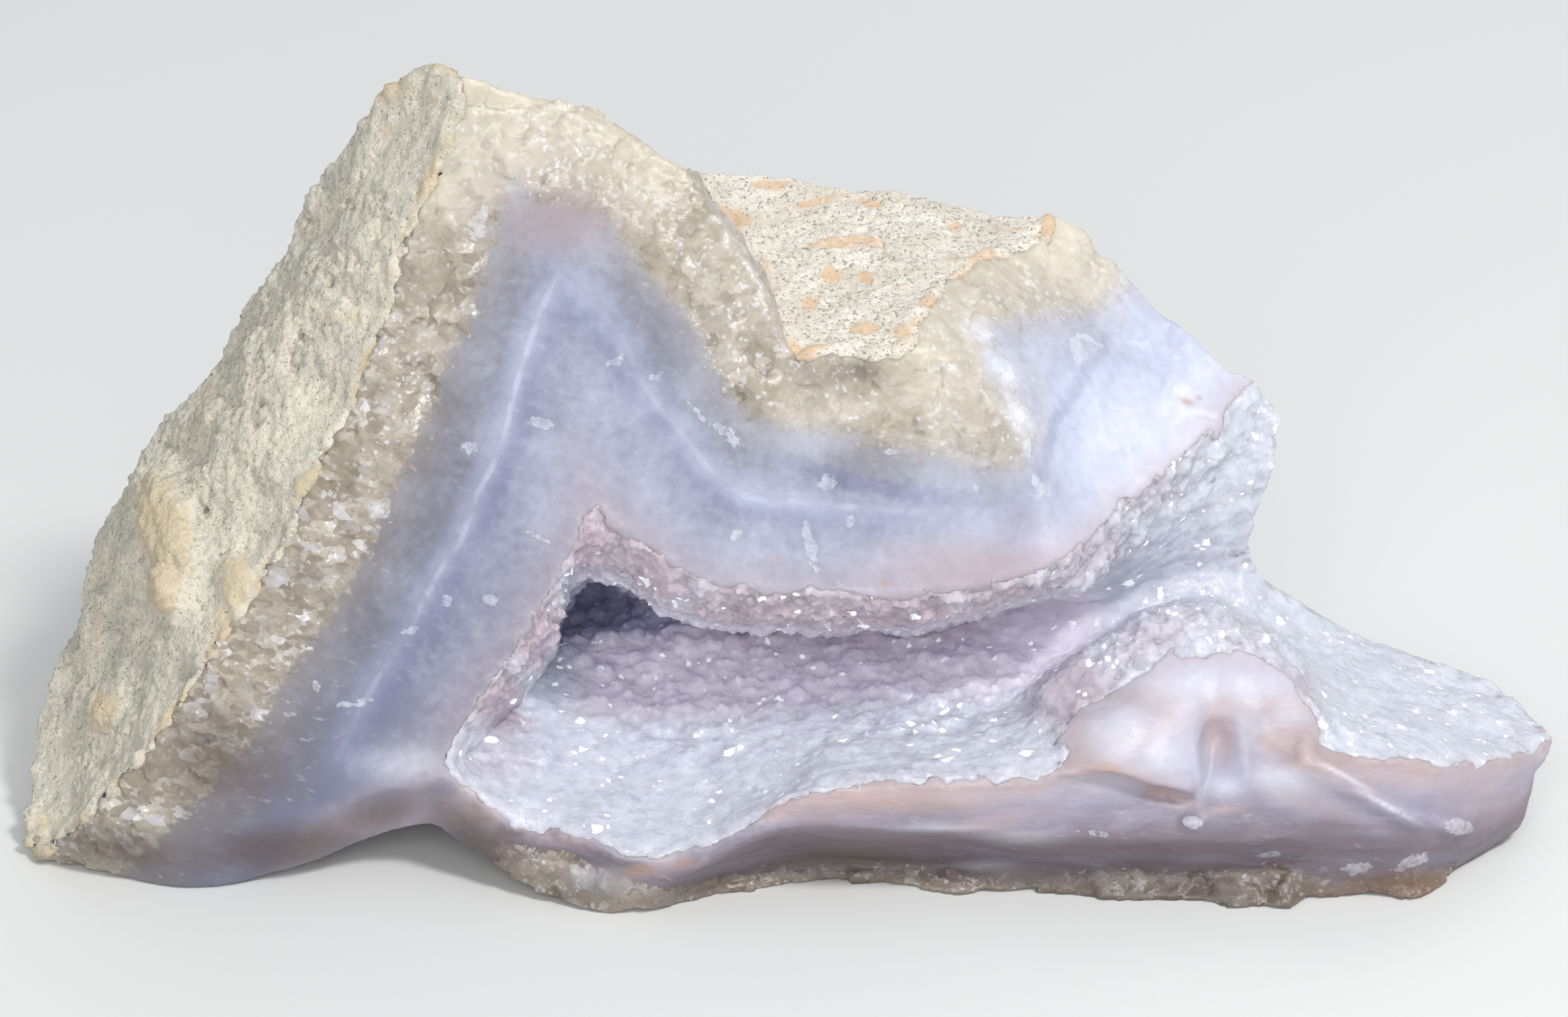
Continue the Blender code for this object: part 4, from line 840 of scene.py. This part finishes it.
agateMarks = {
    # How milky the stone is around a spot: (across, up, milkiness)
    "milk": [(-28, 46, 0.12), (-33, 33, 0.05), (-40, 20, 0.0), (-46, 10, 0.0), (-20, 60, 0.7),
        (-13, 58, 0.6), (-25, 57, 0.7), (-22, 50, 0.15), (-24, 42, 0.1), (-26, 33, 0.05), (-32, 22, 0.0),
        (-36, 14, 0.0), (-40, 9, 0.0), (-15, 46, 0.22), (-16, 40, 0.25), (-13, 38, 0.35), (-18, 33, 0.3),
        (-22, 26, 0.15), (-26, 18, 0.05), (-9, 34, 0.3), (-17, 53, 0.3), (-10, 44, 0.18), (-5, 38, 0.25),
        (-6, 47, 0.35), (-3, 44, 0.3), (3, 41.5, 0.2), (3, 38.6, 0.7), (6, 34.5, 0.12), (0, 29, 0.35),
        (8, 28, 0.35), (15, 29, 0.4), (12, 40, 0.75), (14, 36, 0.55), (17, 48, 0.6), (19, 41, 0.8),
        (22, 44, 0.75), (24, 36, 0.95), (22, 30, 0.75), (30, 41, 0.85), (28, 46, 0.85), (34, 41, 0.95),
        (22, 51, 0.9), (-25, 30, 0.08), (-29, 26, 0.02)],
    # Stains, with painted highlights among the white marks and painted shade among the smoke marks:
    # (across, up, half width, half height, strength, turn in degrees)
    "pink": [(14, 27, 7, 2.2, 0.6), (18, 30, 4, 3, 0.25), (33, 14.2, 1.2, 2.5, 0.6),
        (37.3, 13.9, 1.6, 1.9, 0.3), (26.5, 10.9, 4.5, 0.7, 0.8, -10), (29.4, 9.3, 2.4, 0.6, 0.9, -12),
        (33.5, 8.5, 1.6, 0.4, 0.8, 8), (-10, 3.9, 3.2, 0.6, 0.6, 12), (-16.5, 6.0, 3, 0.5, 0.5, -8),
        (46, 11, 5, 1.0, 0.45, -4), (53, 9.5, 3.5, 2.2, 0.5), (28.5, 15.6, 2, 2.6, 0.2),
        (8, 9.3, 9, 0.9, 0.8), (1, 8.0, 5, 0.7, 0.6), (-17, 53, 4, 2.5, 0.6), (40, 8.8, 4, 0.8, 0.5, -16),
        (39.7, 13, 0.6, 1.0, 0.6), (16, 7.6, 4, 0.7, 0.6, 10), (-22, 6.2, 3.5, 1.0, 0.5, -42),
        (-33, 7.5, 4, 1.2, 0.35, 12), (20.5, 16.8, 1.5, 2.0, 0.4)],
    "rust": [(24.6, 11.5, 1.0, 0.4, 0.7), (33, 14.4, 1.2, 2.2, 0.3), (8, 8.8, 7, 0.8, 0.4),
        (47.5, 2.4, 5, 1.2, 0.7), (-11, 3.9, 1.4, 0.35, 0.7, 15), (-7.6, 4.5, 0.6, 0.3, 0.9),
        (30.6, 39.3, 0.6, 0.3, 1.0, -20), (28.4, 9.8, 0.9, 0.3, 0.6), (7.9, 9.0, 0.4, 0.3, 0.7, 60),
        (7.6, 25.6, 0.3, 0.3, 1.0), (-0.6, 27.4, 0.2, 0.2, 0.7), (31.4, 39.6, 0.25, 0.2, 1.0)],
    # Pale patches of the stone, and painted highlights along lit edges and on a shaded flank of the peak
    "whiteAndPaintedHighlight": [(25, 14.3, 2.8, 2.4, 0.7), (28.6, 13, 2.6, 2.2, 0.45), (31.3, 11.6, 0.3, 3.0, 0.4, 6),
        (33.4, 10.3, 1.6, 0.9, 0.5), (37.8, 10.6, 2.0, 1.2, 0.6, -10), (34.9, 13, 0.35, 2.6, 0.35, 8),
        (42.5, 11.1, 2.6, 0.16, 0.7, -28), (46, 8.6, 2.4, 0.18, 0.7, -28), (-14, 3.0, 2.6, 1.0, 0.6, -6),
        (36, 17.5, 5, 1.6, 0.4), (27, 10.8, 4, 0.8, 0.3), (-28.6, 12.1, 3.2, 1.6, 0.4, 4),
        (12.5, 7.1, 4, 0.3, 0.5), (18, 6.4, 3, 0.5, 0.4), (15.5, 4.3, 2.4, 0.4, 0.25),
        (38.5, 16.4, 2, 1.8, 0.45), (30.5, 17.5, 4, 1.6, 0.5), (24, 36.5, 4, 1.4, 0.5, 50),
        (30, 39.8, 3, 1.2, 0.5, 40), (-2.7, 50, 8, 0.9, 0.2, -64.6), (16.2, 42, 1.7, 0.9, 0.6, -45),
        (17.8, 38, 2.2, 0.8, 0.6, -60), (14.6, 44.8, 1.4, 0.8, 0.5, -20)],
    # Smoky brown of the quartz, and painted shade under the lip, in the undercuts and on the low side
    "smokeAndPaintedShade": [(5, 4.6, 8, 1.7, 1.0), (-6, 2.6, 5, 1.0, 0.8, 16), (-23.5, 6.2, 4.6, 2.0, 1.0, -42),
        (20, 3.3, 9, 0.8, 0.8), (-43, 12.5, 5, 4, 0.85, -35), (-50, 5.4, 5, 1.4, 0.9, -10),
        (4, 41.6, 4.5, 0.9, 0.35), (-17, 53, 4, 3, 0.2), (-37, 24.5, 2.2, 3.6, 0.3, -30),
        (-38, 5.6, 7, 2, 1.0, 8), (28, 5, 12, 1.2, 0.4), (28, 2.2, 12, 1.4, 1.0), (46, 2.2, 6, 1.8, 0.8),
        (-14, 2.6, 4, 1.6, 0.5, 8), (-38, 11, 4, 2.6, 0.3, -30), (-31, 8, 4, 1.2, 0.75, 18),
        (8, 8.2, 8, 0.8, 0.25)],
    "chip": [(2, 28.3, 2.2, 0.5, 0.9, -75), (-3.7, 29.2, 0.7, 0.6, 0.8, 60),
        (5, 30.2, 0.7, 0.45, 0.9, 70), (-22.3, 24.3, 0.7, 0.6, 0.9), (-25.6, 24.3, 0.6, 0.5, 0.8, 80),
        (-18.3, 37.8, 1.4, 0.6, 0.7, -15), (3.2, 33.2, 1.0, 0.6, 0.9, 30),
        (-4.2, 36.8, 1.6, 0.6, 0.8, -40), (-23.8, 35.8, 0.8, 0.6, 0.9, -40),
        (-28.4, 22, 0.8, 0.3, 1.0, 10), (29.6, 40.2, 1.3, 0.6, 1.0, -40),
        (22.3, 43.4, 1.3, 0.6, 0.9, -75), (-12.6, 42.6, 1.3, 0.4, 0.7, 30),
        (-23.2, 53, 1.4, 0.8, 0.9, 70), (-30.8, 31.3, 1.2, 0.7, 0.9, 30), (-18.4, 29, 1.9, 0.2, 0.8, -25),
        (-32.3, 16.6, 1.5, 0.25, 1.0, 10), (-35.6, 17.8, 0.5, 0.4, 0.9, 60), (29, 45.2, 0.3, 0.3, 1.2),
        (-6.5, 38.4, 1.6, 0.3, 0.7, -50), (-9.5, 41.5, 1.2, 0.3, 0.7, 20), (14.6, 32.8, 0.3, 0.3, 1.0),
        (8, 35.6, 0.8, 0.3, 0.8), (31, 7.4, 0.9, 0.6, 1.1), (50.9, 7.2, 1.3, 0.55, 1.0),
        (43.5, 4.0, 1.4, 0.5, 0.8, 10), (47.5, 4.4, 1.9, 0.45, 0.8, 20), (23.6, 6.6, 1.5, 0.25, 0.8, -8),
        (36.8, 5.0, 1.1, 0.22, 0.8, 6), (30.7, 43.6, 0.45, 0.4, 1.0), (30, 42.7, 0.5, 0.3, 0.9, -45),
        (26.6, 37.4, 0.6, 0.9, 0.9), (24.8, 36.1, 0.9, 0.5, 0.8, -30), (25.8, 38.9, 1.0, 0.3, 0.9, -10),
        (23.6, 43.7, 1.5, 0.4, 0.7, -30), (27, 43.9, 1.2, 0.3, 0.7), (18.5, 35.9, 0.5, 1.0, 0.9),
        (19.3, 33.1, 1.1, 0.5, 0.9, -60), (15.2, 44.4, 0.9, 0.6, 0.9), (16.5, 41.9, 1.3, 0.7, 0.9, -40),
        (17.6, 38.6, 1.1, 0.6, 0.9, -60)],
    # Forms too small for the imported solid: (across, up, half width, half height, rise, turn)
    "carved": [(33, 14.2, 1.5, 2.5, -0.35), (37.4, 14, 1.8, 1.8, -0.35), (31, 7.4, 0.9, 0.6, 0.7),
        (50.9, 7.2, 1.3, 0.6, 0.6), (39.7, 13, 0.7, 0.9, 0.4), (25.3, 14.2, 3.0, 2.4, 0.5),
        (28.8, 12.6, 1.8, 2.0, 0.3), (-18, 37, 2.4, 1.2, -0.3, -15), (28.5, 9.6, 3, 0.5, -0.35, -12),
        (24.5, 10.9, 2.4, 0.4, -0.25, -10), (2, 28.3, 2.0, 0.5, -0.25, -75),
        (-27.5, 12.4, 2.6, 1.3, -0.35), (29.8, 40.2, 1.2, 0.6, -0.3, -40),
        (44.5, 8.0, 4.0, 0.7, -0.35, -26)],
}


def softSpots(piece, marks, power=2.0, turned=0.35):
    # Soft oval marks, each the strongest at its own places, on the side that faces the camera
    co = places(piece)
    facing = facings(piece) @ np.array(forward) < turned
    spots = seenAt(co)
    result = np.zeros(len(co))
    for across, up, halfWidth, halfHeight, strength, *turn in marks:
        angle = math.radians(turn[0]) if turn else 0
        dx, dy = spots[:, 0] - across, spots[:, 1] - up
        along = (dx * math.cos(angle) + dy * math.sin(angle)) / halfWidth
        beside = (dy * math.cos(angle) - dx * math.sin(angle)) / halfHeight
        away = np.hypot(along, beside)
        reach = np.linalg.norm(co - np.array(onStone(across, up)), axis=1) / max(halfWidth, halfHeight)
        here = np.where(facing & (reach < 3 * mm), strength * np.exp(-away ** power), 0)
        result = np.where(np.abs(here) > np.abs(result), here, result)
    return result


def paintLines(piece, name, lines):
    # How far each vertex is from the nearest drawn line, and how strong the line is there
    spots = [spot for line in lines for spot in softLine(line)]
    drawn = [onStone(*spot[:2]) for spot in spots]
    nearest, off = nearestOf(drawn, places(piece))
    strengths = np.array([spot[2] for spot in spots])
    paint(piece, name + "Off", np.minimum(off[:, 0] / mm, 4))
    paint(piece, name + "Strength", strengths[nearest[:, 0]])


paint(stone, "milk", spread(co, agateMarks["milk"], 2))
# The white and smoke marks are partly painted highlight and painted shade
for name in ("pink", "rust", "whiteAndPaintedHighlight", "smokeAndPaintedShade"):
    paint(stone, name, softSpots(stone, agateMarks[name], 2.5))
paint(stone, "chip", softSpots(stone, agateMarks["chip"], 3.0))
paintLines(stone, "line", agate["whiteLine"])
paintLines(stone, "seam", agate["seams"])
across, up = seenAt(co).T
shelf, mound = agate["shelf"], agate["mound"]
shelfTop = shelf["top"] + smoothStep(*shelf["stepAcross"], across) * shelf["step"]
onShelf = smoothStep(*shelf["left"], across) * smoothStep(0, 2, shelfTop - up)
besideMound, aboveMound = across - mound["across"], up - mound["up"]
fromMound = np.hypot(besideMound / mound["halfWidth"], aboveMound / mound["halfHeight"])
onMound = smoothStep(0, 1.2, 1 - fromMound)
paint(stone, "shelf", onShelf * (1 - 0.75 * onMound))
leftLimb = 1 - smoothStep(*agate["leftLimb"], across + (60 - up) * 0.15)
paint(stone, "leftLimb", leftLimb)
print("agate painted")

quartz = 1 - smoothStep(0.8, 1.15, band)
shoulder = smoothStep(*agate["shoulder"]["across"], across) * smoothStep(*agate["shoulder"]["up"], up)
carving = softSpots(stone, agateMarks["carved"], 3.0)
moveTo(stone, co + facings(stone) * carving[:, None] * mm)
group(stone, "quartz", quartz)
group(stone, "smooth", 1 - quartz)
for name, (size, height) in agate["uneven"].items():
    roughened(stone, texture(name, "CLOUDS", size, noise_depth=2), height, 0.5, name)
growth = np.array(agate["growth"]) / np.linalg.norm(agate["growth"])
cuts = agate["facets"]
brokenFacets(stone, quartz * leftLimb, *cuts["side"], 1, growth, 1.8)
brokenFacets(stone, quartz * (1 - leftLimb), *cuts["quartz"], 2)
brokenFacets(stone, (1 - onShelf) * shoulder * (1 - quartz), *cuts["shoulder"], 3, shelly=True)
behind = smoothStep(0.2, 0.5, facings(stone) @ np.array(forward))
behind *= smoothStep(*agate["back"], co[:, 1] / mm)
brokenFacets(stone, behind * (1 - quartz), *cuts["behind"], 4, shelly=True)
co = places(stone)
co[:, 2] = np.maximum(co[:, 2], 0)
moveTo(stone, co)
finishAgate(stone)
settled(stone, "agate")

# The rock on the side and on the top

sideRock = {
    "colours": {"pale": (246, 237, 218), "other": (218, 213, 198), "dark": (132, 128, 110), "specks": 0.43,
                "tan": (228, 208, 172), "pit": (100, 98, 82)},
    "voxel": 0.26, "lumps": (3.2, 1.4), "crumbs": (0.7, 0.7), "pits": (1.7, -0.7),
    "tan": [(-47, 30, 2.4, 4.6, 1.0, 15), (-47, 25.5, 1.6, 2.4, 1.0), (-41.5, 25.5, 1.4, 2.6, 0.9, -10),
        (-51.5, 16, 1.6, 2.0, 0.9), (-52.5, 22, 1.4, 1.6, 0.5), (-30.2, 60, 0.6, 0.5, 0.8),
        (-33.5, 45.8, 2.2, 0.5, 0.7), (-44, 39, 1.6, 2.5, 0.5), (-37.2, 32.5, 0.8, 1.6, 0.6, -25),
        (-50, 33, 1.2, 3, 0.5, 20), (-43, 23, 1.6, 0.8, 0.7, 40), (-44, 33.5, 3, 2, 0.45)],
    "knobs": [(-47, 30, 1.9, 3.8, 1.1, 15), (-46.6, 25.3, 1.2, 1.8, 1.2), (-51.5, 15.8, 1.2, 1.2, 0.9),
        (-41.8, 26, 1.0, 2.0, 0.6, -10)],
}
topRock = {
    "colours": {"pale": (255, 248, 236), "other": (240, 231, 216), "dark": (120, 114, 104), "specks": 0.455,
                "tan": (240, 206, 168), "pit": (150, 144, 134)},
    "voxel": 0.2, "lumps": (3.2, 0.45), "crumbs": (0.7, 0.7), "pits": (1.2, -0.7),
    "tan": [(-4, 53.3, 2.0, 0.8, 1.0, -8), (-1.2, 55.9, 1.8, 0.5, 1.0), (6.6, 54.5, 1.2, 0.5, 1.0, -10),
        (4.6, 51.5, 3.2, 0.55, 1.0, 2), (3.6, 49, 1.0, 0.7, 1.0), (6.3, 48.9, 0.8, 0.5, 1.0),
        (2, 46.8, 1.0, 0.6, 1.0, 20), (6.2, 45, 1.3, 0.6, 1.0), (8.8, 44.7, 0.9, 0.6, 1.0),
        (13, 52.7, 0.8, 0.4, 0.9), (2.5, 54.6, 2.6, 0.35, 0.8, 15), (9, 48, 1.2, 0.4, 0.5),
        (17.5, 52.3, 2.0, 0.5, 0.5), (13, 50.2, 2.4, 0.3, 0.6)],
    "knobs": [],
}


def buildRock(node, name, facts):
    piece = copied(node, name, sharp=45, crease=1.0, rounds=1)
    sunkIn(piece, 0.4)
    remeshed(piece, facts["voxel"])
    start, normals = places(piece), facings(piece)
    toAgate = distanceTo(agateTree, start)
    rim = (1 - smoothStep(0.2, 0.9, toAgate)) * (0.5 + wander(start, 3.0))
    paint(piece, "tan", np.maximum(softSpots(piece, facts["tan"], 4.0), rim))
    moveTo(piece, start + normals * softSpots(piece, facts["knobs"], 3.0)[:, None] * mm)
    # A ragged edge of the rock laps over the agate
    lap = (1 - smoothStep(0.2, 1.3, toAgate)) * (0.12 + 0.6 * wander(start, 1.2))
    moveTo(piece, places(piece) + normals * (lap * mm)[:, None])
    before = places(piece)
    group(piece, "free", 0.2 + 0.8 * smoothStep(0.3, 2.5, toAgate))
    size, height = facts["lumps"]
    roughened(piece, texture(name + "Lumps", "CLOUDS", size, noise_depth=3), height, 0.6, "free")
    size, height = facts["crumbs"]
    roughened(piece, texture(name + "Crumbs", "CLOUDS", size, noise_depth=2), height, 0.45, "free")
    size, height = facts["pits"]
    pits = texture(name + "Pits", "VORONOI", size)
    pits.use_color_ramp = True
    deep, level = pits.color_ramp.elements
    deep.position, deep.color = 0.0, (1, 1, 1, 1)
    level.position, level.color = 0.25, (0, 0, 0, 1)
    roughened(piece, pits, height, 0.0, "free")
    depth = ((places(piece) - before) * normals).sum(1) / mm
    paint(piece, "pit", smoothStep(-0.5, -1.0, depth))
    finishRock(piece, name + "Stone", facts["colours"])
    settled(piece, node)


buildRock("host_rock_side", "sideRock", sideRock)
buildRock("host_rock_top", "topRock", topRock)

# The crystal crust of the hollow

hollow = {
    "voxel": 0.235,
    "pink": [(-22, 17, 2.5, 3.5, 1.0, 50), (-19, 22.5, 2.2, 4, 1.0), (-14.5, 29, 2.6, 3, 1.0),
        (-10, 26.6, 4, 2.6, 1.0, -30), (-2, 23.4, 7, 2.8, 1.0), (8, 23, 8, 2.8, 1.0),
        (17, 24.2, 5, 2.2, 0.9), (-14, 27.5, 3, 3, 0.9), (23, 27.5, 3.5, 1.6, 0.8, 40),
        (22, 17.5, 3.5, 3, 0.8, 40), (28, 21.5, 5, 1.6, 0.45, 30), (35, 22, 4, 1.6, 0.3, -30),
        (38.5, 17.5, 2, 3, 0.5, 60), (-22, 12, 3, 2, 0.35), (28, 33, 3, 2, 0.4, 45)],
    # How the crystals grow around a spot: (across, up, size, relief)
    "growth": [(-22, 13, 0.8, 0.4), (-19, 21, 0.85, 0.9), (-14, 29, 0.8, 0.8), (-5, 24, 0.8, 0.9),
        (8, 24, 0.8, 0.9), (19, 25.5, 0.8, 0.8), (24, 28.5, 0.8, 0.8), (30, 34, 0.85, 0.7),
        (34, 37, 0.85, 0.7), (33, 30, 0.85, 0.4), (-12, 8, 0.9, 0.3), (-4, 9, 0.9, 0.3),
        (5, 12, 0.9, 0.32), (14, 12.5, 0.9, 0.35), (-14, 13, 0.9, 0.32), (0, 14, 0.9, 0.35),
        (-10, 17, 1.1, 0.75), (0, 17, 1.1, 0.75), (10, 17.5, 1.0, 0.7), (20, 17, 0.85, 0.4),
        (28, 22, 0.9, 0.7), (36, 21, 0.9, 0.6), (45, 18, 0.85, 0.3), (54, 16, 0.85, 0.4),
        (50, 14, 0.85, 0.25), (42, 16, 0.85, 0.4), (26, 26, 0.9, 0.3)],
    "spacing": 0.6, "radius": (0.5, 0.95), "tall": (0.5, 1.0), "tilt": 0.2, "sharpness": 14, "seed": 4,
    "thickness": 0.9, "innerKept": 0.06, "tuckedIn": 0.5, "knobs": (2.2, -0.9), "grains": (0.9, -0.3),
    # Where the crust lies in the hollow, where it gets painted light that makes it paler, and the pocket
    # where it gets painted shade
    "inside": {"back": (11, 15), "paintedLight": (14, 18), "left": (-18, -14), "right": (22, 26)},
    "pocket": {"back": (25.4, 27.4), "right": (-9, -6), "up": (20.6, 21.4)},
}


def crystalSeeds(co, growth, facts):
    # Vertices to grow from, no two closer than the spacing times their growth
    chance = np.random.default_rng(facts["seed"])
    cell = facts["spacing"] * growth.max()
    taken, grid = [], {}
    around = [(x, y, z) for x in (-1, 0, 1) for y in (-1, 0, 1) for z in (-1, 0, 1)]
    for i in chance.permutation(len(co))[:60000]:
        place, gap = co[i], facts["spacing"] * growth[i]
        key = tuple(int(v) for v in np.floor(place / cell))
        close = [j for x, y, z in around for j in grid.get((key[0] + x, key[1] + y, key[2] + z), ())]
        if all(((co[j] - place) ** 2).sum() > gap * gap for j in close):
            grid.setdefault(key, []).append(i)
            taken.append(i)
    return np.array(taken)


def growCrystals(piece, outer, growth, relief, facts):
    # Raises the surface to the highest of the six-sided points that grow around each place
    co, normals = places(piece) / mm, facings(piece)
    skin, up = co[outer], normals[outer]
    seeds = crystalSeeds(skin, growth, facts)
    chance = np.random.default_rng(facts["seed"] + 1)
    count = len(seeds)
    axis = up[seeds] + chance.normal(0, facts["tilt"], (count, 3))
    axis /= np.linalg.norm(axis, axis=1)[:, None]
    side = np.cross(axis, chance.normal(0, 1, (count, 3)))
    side /= np.linalg.norm(side, axis=1)[:, None]
    other = np.cross(axis, side)
    radius = growth[seeds] * chance.uniform(*facts["radius"], count)
    tall = radius * relief[seeds] * chance.uniform(*facts["tall"], count)
    near = nearestOf(skin[seeds], skin, 6)[0]
    reach = skin[:, None] - skin[seeds][near]
    u, v = (reach * side[near]).sum(2), (reach * other[near]).sum(2)
    hexagon = np.abs(np.stack([u, u / 2 + v * 0.866, v * 0.866 - u / 2], 2)).max(2) / radius[near]
    rises = tall[near] * (1 - hexagon)
    rise = np.log(np.exp(rises * facts["sharpness"]).sum(1)) / facts["sharpness"]
    rise = np.clip(rise, -0.15, 0.9)
    tones = np.full(len(co), 0.5)
    tones[outer] = chance.random(count)[near[np.arange(len(skin)), rises.argmax(1)]]
    paint(piece, "tone", tones)
    print("crystals grown:", count)
    return rise


def mainland(verts):
    # The verts of the largest connected part of a mesh
    best, left = set(), set(verts)
    while left:
        front = [left.pop()]
        part = set(front)
        while front:
            for edge in front.pop().link_edges:
                for vert in edge.verts:
                    if vert in left:
                        left.remove(vert)
                        part.add(vert)
                        front.append(vert)
        best = max(best, part, key=len)
    return best


crust = grownTogether("crystalCrust", hollow["voxel"])
paint(crust, "room", roomBehind(crust))
near = coverOf(places(crust)) > 0.03
editing(crust)
for keptOf in (lambda verts: {vert for vert, kept in zip(verts, near) if kept}, mainland):
    mesh = bmesh.from_edit_mesh(crust.data)
    kept = keptOf(mesh.verts)
    for vert in mesh.verts:
        vert.select = vert not in kept
    mesh.select_flush_mode()
    bpy.ops.mesh.delete(type="VERT")
bpy.ops.object.mode_set(mode="OBJECT")
top = places(crust)
group(crust, "room", paintOf(crust, "room"))
applied(crust, "SOLIDIFY", thickness=hollow["thickness"] * mm, offset=-1, vertex_group="room",
        thickness_vertex_group=0.02)
co = places(crust)
outer = np.arange(len(co)) < len(top)
if np.abs(co[:len(top)] - top).max() > 0.01 * mm:
    outer = ~outer
paint(crust, "outer", outer)
thinned(crust, ~outer, hollow["innerKept"])
outer = paintOf(crust, "outer") > 0.99
co = places(crust)
across, up = seenAt(co).T
back = co[:, 1] / mm + view["partOrigin"][1]
area, pocket = hollow["inside"], hollow["pocket"]
inside = smoothStep(*area["back"], back) * smoothStep(*area["left"], across)
inside *= 1 - smoothStep(*area["right"], across)
paint(crust, "pink", softSpots(crust, hollow["pink"], 4.0, 1.1) * (1 - 0.6 * inside))
# Painted light on the back floor in the ceiling's shade
paint(crust, "inside", inside * smoothStep(*area["paintedLight"], back))
# Painted shade: the crust deep in the pocket gets a darker colour
deep = smoothStep(*pocket["back"], back) * (1 - smoothStep(*pocket["right"], across))
paint(crust, "deep", deep * smoothStep(*pocket["up"], up))
skin, normals = co[outer], facings(crust)[outer]
growth, relief = spread(skin, hollow["growth"], 2), spread(skin, hollow["growth"], 3)
cover = coverOf(skin)
rim = smoothStep(0.3, 0.7, cover)
contact = np.zeros(len(co))
contact[outer] = 1 - smoothStep(0.55, 0.9, cover)
paint(crust, "contact", contact)
shown = np.zeros(len(co))
shown[outer] = relief
paint(crust, "relief", shown)
tucked = (1 - smoothStep(0.05, 0.32, cover)) * hollow["tuckedIn"] * paintOf(crust, "room")[outer]
rise = growCrystals(crust, outer, growth, relief, hollow) * rim - tucked
co[outer] = skin + normals * (rise * mm)[:, None]
lumpy = np.zeros(len(co))
lumpy[outer] = (smoothStep(0.2, 0.7, relief) * 0.8 + 0.2) * rim
moveTo(crust, co)
group(crust, "lumpy", lumpy)
for name in ("knobs", "grains"):
    size, height = hollow[name]
    roughened(crust, texture(name, "VORONOI", size), height, 0.4, "lumpy")
finishCrystals(crust)
settled(crust, "quartz_crystals")

# Floor, light and camera

bpy.ops.mesh.primitive_plane_add(size=4, location=(0, 0, 0))
floor = bpy.context.object
floor.name = "floor"
shader = startMaterial("paleFloor", floor)
feed(shader, Base_Color=tint(226, 226, 224), Roughness=0.7)

lights = {
    "key": {"at": (0.27, -0.29, 0.57), "size": 0.12, "power": 2.6},
    "fill": {"at": (-0.06, -0.6, 0.36), "size": 0.4, "power": 1.75},
    "back": {"at": (0.1, 0.5, 0.5), "size": 0.5, "power": 0.8},
}
for name, facts in lights.items():
    lamp = bpy.data.lights.new(name, "AREA")
    lamp.energy, lamp.size = facts["power"], facts["size"]
    thing = bpy.data.objects.new(name, lamp)
    bpy.context.scene.collection.objects.link(thing)
    thing.location = facts["at"]
    thing.rotation_euler = (Vector((0, 0, 0.02)) - thing.location).to_track_quat("-Z", "Y").to_euler()

world = bpy.data.worlds.new("studio")
world.use_nodes = True
background = world.node_tree.nodes["Background"].inputs
background["Color"].default_value = (0.9, 0.95, 1.0, 1)
background["Strength"].default_value = 0.46
bpy.context.scene.world = world
bpy.context.scene.view_settings.view_transform = "Standard"

cameraData = bpy.data.cameras.new("camera")
cameraData.sensor_width = view["sensorWidth"]
cameraData.lens = view["sensorWidth"] * view["eyeDistance"] / view["sheetWidth"]
camera = bpy.data.objects.new("camera", cameraData)
bpy.context.scene.collection.objects.link(camera)
camera.location = eye
camera.rotation_euler = forward.to_track_quat("-Z", "Y").to_euler()
bpy.context.scene.camera = camera
